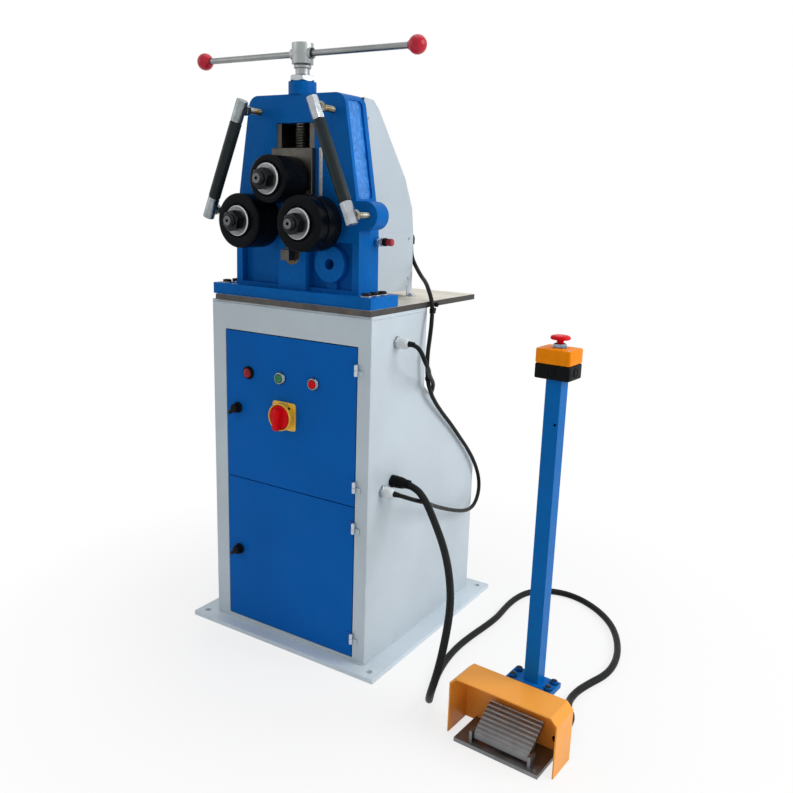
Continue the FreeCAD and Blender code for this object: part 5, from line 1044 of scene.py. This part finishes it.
# The upper face rises along v; its ribs are a rounded square wave across the foot.
def makeTreadle():
    front, rear, long = pedal["front"], pedal["rear"], pedal["rear"] - pedal["front"]
    v = np.linspace(front, rear, 121)
    share = (v - front) / long
    under = pedal["low"] + (pedal["high"] - pedal["low"]) * share
    rib = pedal["rib"] * np.clip(np.cos(2 * np.pi * (v - front) / pedal["ribPitch"]) * 3, -1, 1)
    ends = np.clip(np.minimum(v - front, rear - v) / 2.0, 0, 1)
    over = under + pedal["thickFront"] * (1 - share) + pedal["thickRear"] * share
    over = over + rib * ends - 1.0 - 1.2 * (1 - ends)
    under = under + 1.2 * (1 - ends)
    loop = np.concatenate([np.stack([v, over], 1), np.stack([v, under], 1)[::-1]])
    edge, half = np.array((0, 0.8, 2.2)), pedal["wide"] / 2
    u = pedal["left"] + np.concatenate([edge, [half], pedal["wide"] - edge[::-1]])
    drawn = np.array((1.6, 0.5, 0, 0, 0, 0.5, 1.6))[:, None, None]
    middle = loop.mean(0)
    rows = middle + (loop - middle)[None, :, :] * (1 - drawn / 30)
    points = (stationOrigin + u[:, None, None] / 1000 * stationRight
              + rows[:, :, :1] / 1000 * stationBack + rows[:, :, 1:] / 1000 * toTop)
    piece("treadle", [skin(points)], "castPedalAlloy", "foot_pedal", "treadle", 50)


makeTreadle()

post = {"u": -91, "v": 92, "bolts": (35.5, 12), "boltV": 89, "boltHeight": 115, "boxFoot": 683,
        "boxWide": 64, "boxDeep": 54, "baseTall": 25, "lidTall": 25.6, "knockHeight": 12.5,
        "lidScrews": (26.5, 21.5)}
softened("post_bracket", 0.8, "bluePostPaint")
boltU, boltV = post["bolts"]
bolts = grid(stationSpot(post["u"], post["boltV"], post["boltHeight"]), stationRight,
             (-boltU, boltU), stationBack, (-boltV, boltV))
washer = [(4, 0), (8.2, 0), (8.2, 1.2), (4, 1.2)]
piece("footBolts", [hexShape(moved(at, 0, 0, 1.2), toTop, 10, 5, 0, 12 * i)
                    for i, at in enumerate(bolts)]
      + [boredShape(washer, 0.3, at, toTop, 32, 2) for at in bolts],
      "blackenedSteel")


def makeStopBox():
    boxAt = stationSpot(post["u"], post["v"], post["boxFoot"])
    size = (post["boxWide"], post["boxDeep"])
    sideAt = moved(boxAt + stationRight * 0.0318, z=post["knockHeight"])
    frontAt = moved(boxAt - stationBack * 0.0268, z=post["knockHeight"])
    knock = [(6.6, 0), (8.2, 0), (8.2, 0.9), (7.6, 1.3), (6.8, 1.3), (6.4, 0.5), (6.6, 0)]
    disc = [(0.01, 0), (5.9, 0), (5.9, 0.7), (0.01, 0.9)]
    piece("stopBoxBase", [
        pillowShape(boxAt, toTop, stationRight, post["baseTall"], *size, 2.0, 13),
        boredShape(knock, 0.2, sideAt, stationRight, 48, 2),
        solidShape(disc, 0.2, sideAt, stationRight, 48),
        boredShape(knock, 0.2, frontAt, -stationBack, 48, 2),
    ], "blackPlastic", "stop_box_base")
    piece("stopBoxLid", [
        pillowShape(moved(boxAt, z=25.4), toTop, stationRight, post["lidTall"], *size, 2.6, 13),
        boredShape([(12, 0), (22, 0), (21, 1.0), (12.5, 1.0)], 0.3, moved(boxAt, z=50.8), toTop,
                   64, 2)], "orangeBoxPlastic", "stop_box_lid")
    u, v = post["lidScrews"]
    corners = grid(moved(boxAt, z=50.2), stationRight, (-u, u), stationBack, (-v, v))
    piece("stopBoxScrews", capScrews(corners, toTop, 3.0, 1.1, 2.4, 0.9, 32),
          "zincPlate")
    collar = ((9.0, 0.0, 0), (12.6, 0.2, 0), (12.8, 1.6, 0), (11.3, 2.0, 1), (11.2, 6.0, 1),
              (10.6, 7.0, 0), (9.6, 7.4, 0), (9.0, 7.0, 0))
    piece("stopBoxCollar", [ribbedShape(moved(boxAt, z=51.1), toTop, collar,
                                        ribs(24, 144, 0.55, 2), True)],
          "chromedRim")
    mushroom = [(0.01, -16), (5.8, -16), (5.8, -1.5), (8, 0), (14.5, 0.4), (16.8, 1.6), (17, 3.6),
                (15.6, 6.6), (11, 7.8), (0.01, 8)]
    piece("stopButtonHead", [solidShape(mushroom, 1.4, moved(boxAt, z=64.5), toTop, 96, 4)],
          "redButtonPlastic", "stop_button_head", "stop_head")


makeStopBox()
print("pedal station made")

# Inside the cabinet: chain, sprockets, motor, electric panel
drive = {"y": 113, "low": 200, "high": 853, "pitchRadius": 51.5, "pitch": 12.7, "teeth": 26,
         "root": 48.4, "tip": 53.5, "thick": 6.8, "bore": 24}


# The chain's pins by distance along it: up the left run, over the top, down, under the foot.
def chainPins():
    radius, low, high = drive["pitchRadius"], drive["low"], drive["high"]
    rise, total = high - low, 2 * (high - low) + 2 * np.pi * radius
    count = 2 * round(total / drive["pitch"] / 2)
    s = np.arange(count) * total / count
    over = rise + np.pi * radius
    turnTop, turnFoot = (s - rise) / radius, (s - over - rise) / radius
    runs = [s < rise, s < over, s < over + rise]
    x = np.select(runs, [-radius, -radius * np.cos(turnTop), radius], radius * np.cos(turnFoot))
    z = np.select(runs, [low + s, high + radius * np.sin(turnTop), high - (s - over)],
                  low - radius * np.sin(turnFoot))
    return np.stack([x, z], 1)


# A flat outline of (x, z) between two distances behind the cabinet's front.
def slab(outline, first, last):
    rows = [np.stack([outline[:, 0], np.full(len(outline), y + cabinetFront), outline[:, 1]], 1)
            for y in (first, last)]
    return skin(np.stack(rows) / 1000)


def makeChain():
    pins, half, y = chainPins(), drive["pitch"] / 2, drive["y"]
    u, around = fullTurn(10), fullTurn(16)
    lobe = np.cos(around) * (half + 3.1)
    waist = np.sin(around) * (3.3 - 0.7 * np.cos(np.clip(lobe / half, -1, 1) * np.pi / 2) ** 2)
    shapes = []
    for i, (here, ahead) in enumerate(zip(pins, np.roll(pins, -1, 0))):
        way = (ahead - here) / np.linalg.norm(ahead - here)
        loop = (here + ahead) / 2 + lobe[:, None] * way + waist[:, None] * (-way[1], way[0])
        outer = 4.6 if i % 2 else 3.3
        shapes += [slab(loop, y - outer + 0.55, y - outer - 0.55),
                   slab(loop, y + outer - 0.55, y + outer + 0.55),
                   slab(here + 2.9 * np.stack([np.cos(u), np.sin(u)], 1), y - 5.3, y + 5.3)]
    piece("driveChain", shapes, "oiledSteel", "drive_chain")


makeChain()


# radius = root + (tip - root) * tooth, tooth a flattened cosine of the angle times the count
def sprocketShape(at):
    root, thick, bore = drive["root"], drive["thick"], drive["bore"]
    rows = [(root - 1, 0, 1), (root, 1.2, 1), (root, thick - 1.2, 1), (root - 1, thick, 1),
            (bore, thick, 0), (bore, 0, 0)]
    teeth = ribs(drive["teeth"], 12 * drive["teeth"], root - drive["tip"], -0.85, 0.5)
    return ribbedShape(at, toBack, rows, teeth, True)


for name, height in (("drive", drive["low"]), ("pinion", drive["high"])):
    piece(f"{name}SprocketTeeth", [sprocketShape(spot(0, drive["y"] - 3.4, height))],
          "oiledSteel", body=f"{name}_spin")
softened("drive_sprocket", 0.6, "oiledSteel")

motor = {"height": 200, "fins": 30, "finRoot": 69.0, "finDeep": 5.0, "lidBoltX": 38,
         "lidBoltsBehind": (258, 328), "lidHeight": 297.5, "caseFace": 132.4, "caseBolt": 50}
softened("gear_motor", 1.6, "motorEnamel")
motorAt, root, far = spot(0, 0, motor["height"]), motor["finRoot"], motor["caseBolt"]
finRows = [(root - 3, 236, 0), (root - 1.5, 237, 1), (root, 240, 1), (root, 362, 1),
           (root - 1.5, 365, 1), (root - 3, 366, 0)]
cowl = [(60, 366), (72.5, 366), (73, 370), (73, 404), (66, 414), (20, 416), (18, 413), (60, 410)]
piece("motorFins", [ribbedShape(motorAt, toBack, finRows,
                                ribs(motor["fins"], 180, -motor["finDeep"], 2.2)),
                    boredShape(cowl, 2.0, motorAt, toBack, 96)], "motorEnamel")
lidBolts = grid(spot(0, 0, motor["lidHeight"]), toRight, (-motor["lidBoltX"], motor["lidBoltX"]),
                toBack, motor["lidBoltsBehind"])
caseBolts = grid(moved(motorAt, 0, motor["caseFace"]), toRight, (-far, far), toTop, (-far, far))
piece("motorScrews", capScrews(lidBolts, toTop, 3, 2, 3, 1.5, 24)
      + capScrews(caseBolts, toFront, 6, 6, 6, 4, 32), "zincPlate")

electrics = {"contactors": (-90, -30, 30), "height": 582, "coils": (62, 106), "terminals": 11,
             "firstTerminal": -146, "terminalStep": 14.2}
softened("electric_panel", 0.6, "zincPlate")
fronts = [spot(x, 40, electrics["height"]) for x in electrics["contactors"]]
piece("contactors", [shape for at in fronts for shape in (
    pillowShape(moved(at, 0, 50), toFront, toRight, 50.6, 47.2, 81.2, 1.6, 12),
    pillowShape(moved(at, 0, 4), toFront, toRight, 11, 30, 34, 1.6, 9))], "blackPlastic")
piece("contactorScrews", [shape for at in fronts for shape in capScrews(
    grid(moved(at, 0, -0.3), toRight, (-14.5, 0, 14.5), toTop, (-31, 31)), toFront, 3.4, 1.0, 3,
    0.6, 20)], "zincPlate")
piece("transformerCoils", [pillowShape(spot(x, 44, 457), toBack, toRight, 44, 30, 74, 3, 5)
                           for x in electrics["coils"]], "bronze")
piece("terminalBlocks", [
    pillowShape(spot(electrics["firstTerminal"] + electrics["terminalStep"] * k, 62.5, 439),
                toFront, toRight, 6, 12.6, 30, 1.2, 8, 40)
    for k in range(electrics["terminals"])], "paleGlandPlastic")
print("drive and electrics made")

# Rear cover's skirts and screws
coverForm = {"footX": 125, "footHeight": 762.2, "skirtX": 115.9, "seam": (
    (116, 104, 1120), (116, 104, 980), (117, 104, 840), (117, 272, 800), (117, 272, 885))}
piece("coverSkirts", [pillowShape(spot(side * coverForm["skirtX"], 193, 835), side * toRight,
                                  toBack, 1.2, 196, 126, 0.4, 60, 120) for side in (-1, 1)],
      "greyCoverPaint")
footScrews = grid(spot(0, 0, coverForm["footHeight"]), toRight,
                  (-coverForm["footX"], coverForm["footX"]), toBack, (118, 278))
piece("coverScrews", capScrews(footScrews, toTop, 4.6, 3.4, 3.2, 2, 32)
      + [capScrewShape(spot(side * x, behind, z), side * toRight, 3.6, 1.6, 2.4, 1, 28)
         for side in (-1, 1) for x, behind, z in coverForm["seam"]], "zincPlate")

# Floor and light
stage = {"width": 40.0, "middle": (0.15, -0.05, 0), "clearest": 0.74, "fade": (0.40, 1.0),
         "low": -0.0005, "colour": (0.93, 0.935, 0.94)}


# Rays that see the backdrop: camera, transmission and glossy ones, as 0 or 1.
def backdropSeen(tree):
    ray = joined(tree, "LightPath", {})
    direct = calculated(tree, "ADD", ray["Is Camera Ray"], ray["Is Transmission Ray"])
    seen = calculated(tree, "ADD", direct, ray["Is Glossy Ray"])
    return calculated(tree, "MINIMUM", seen, 1.0)


# The floor keeps the shadow near the machine and passes into plain white further out.
def makeStage():
    mesh = bpy.data.meshes.new("floor")
    half, low = stage["width"] / 2, stage["low"]
    mesh.from_pydata([(-half, -half, low), (half, -half, low), (half, half, low),
                      (-half, half, low)], [], [(0, 1, 2, 3)])
    tree, shader = startFinish("paleFloor", stage["colour"], 0.85, gloss=0.1)
    tree.links.new(tinted(tree, patches(tree, 300, 3), (0.92, 0.925, 0.93), (0.945, 0.945, 0.945)),
                   shader.inputs["Base Color"])
    away = distance(tree, objectPlace(tree, (1, 1, 0), stage["middle"]))
    fade = remap(tree, away, stage["clearest"], 1, *stage["fade"])
    white = joined(tree, "Emission", {"Color": (1, 1, 1, 1)})[0]
    share = calculated(tree, "MULTIPLY", fade, backdropSeen(tree))
    mix = joined(tree, "MixShader", {0: share, 1: shader.outputs[0], 2: white})[0]
    tree.links.new(mix, tree.nodes["Material Output"].inputs["Surface"])
    mesh.materials.append(looks["paleFloor"])
    floor = bpy.data.objects.new("floor", mesh)
    bpy.context.scene.collection.objects.link(floor)


lamps = {
    "keyFromRight": {"at": (3.0, 0.5, 2.1), "size": 2.2, "power": 58},
    "fillFromLeft": {"at": (-2.4, -2.2, 1.8), "size": 2.2, "power": 10},
    "topSoft": {"at": (0.2, 0.2, 3.4), "size": 2.4, "power": 20},
}
lampAim = (0.15, -0.1, 0.65)
skyLevel = 0.44


def makeLamps():
    for name, facts in lamps.items():
        light = bpy.data.lights.new(name, "AREA")
        light.shape = "DISK"
        light.size = facts["size"]
        light.energy = facts["power"]
        away = np.array(facts["at"]) - lampAim
        away /= np.linalg.norm(away)
        stand(bpy.data.objects.new(name, light), *across(away), away, facts["at"])


def makeSky():
    world = bpy.data.worlds.new("studio")
    world.use_nodes = True
    tree = world.node_tree
    background = tree.nodes["Background"]
    background.inputs["Color"].default_value = (1, 1, 1, 1)
    level = calculated(tree, "ADD", calculated(tree, "MULTIPLY", backdropSeen(tree), 1 - skyLevel),
                       skyLevel)
    tree.links.new(level, background.inputs["Strength"])
    bpy.context.scene.world = world


makeStage()
makeLamps()
makeSky()
bpy.context.scene.view_settings.view_transform = "Standard"
print("floor and light made")
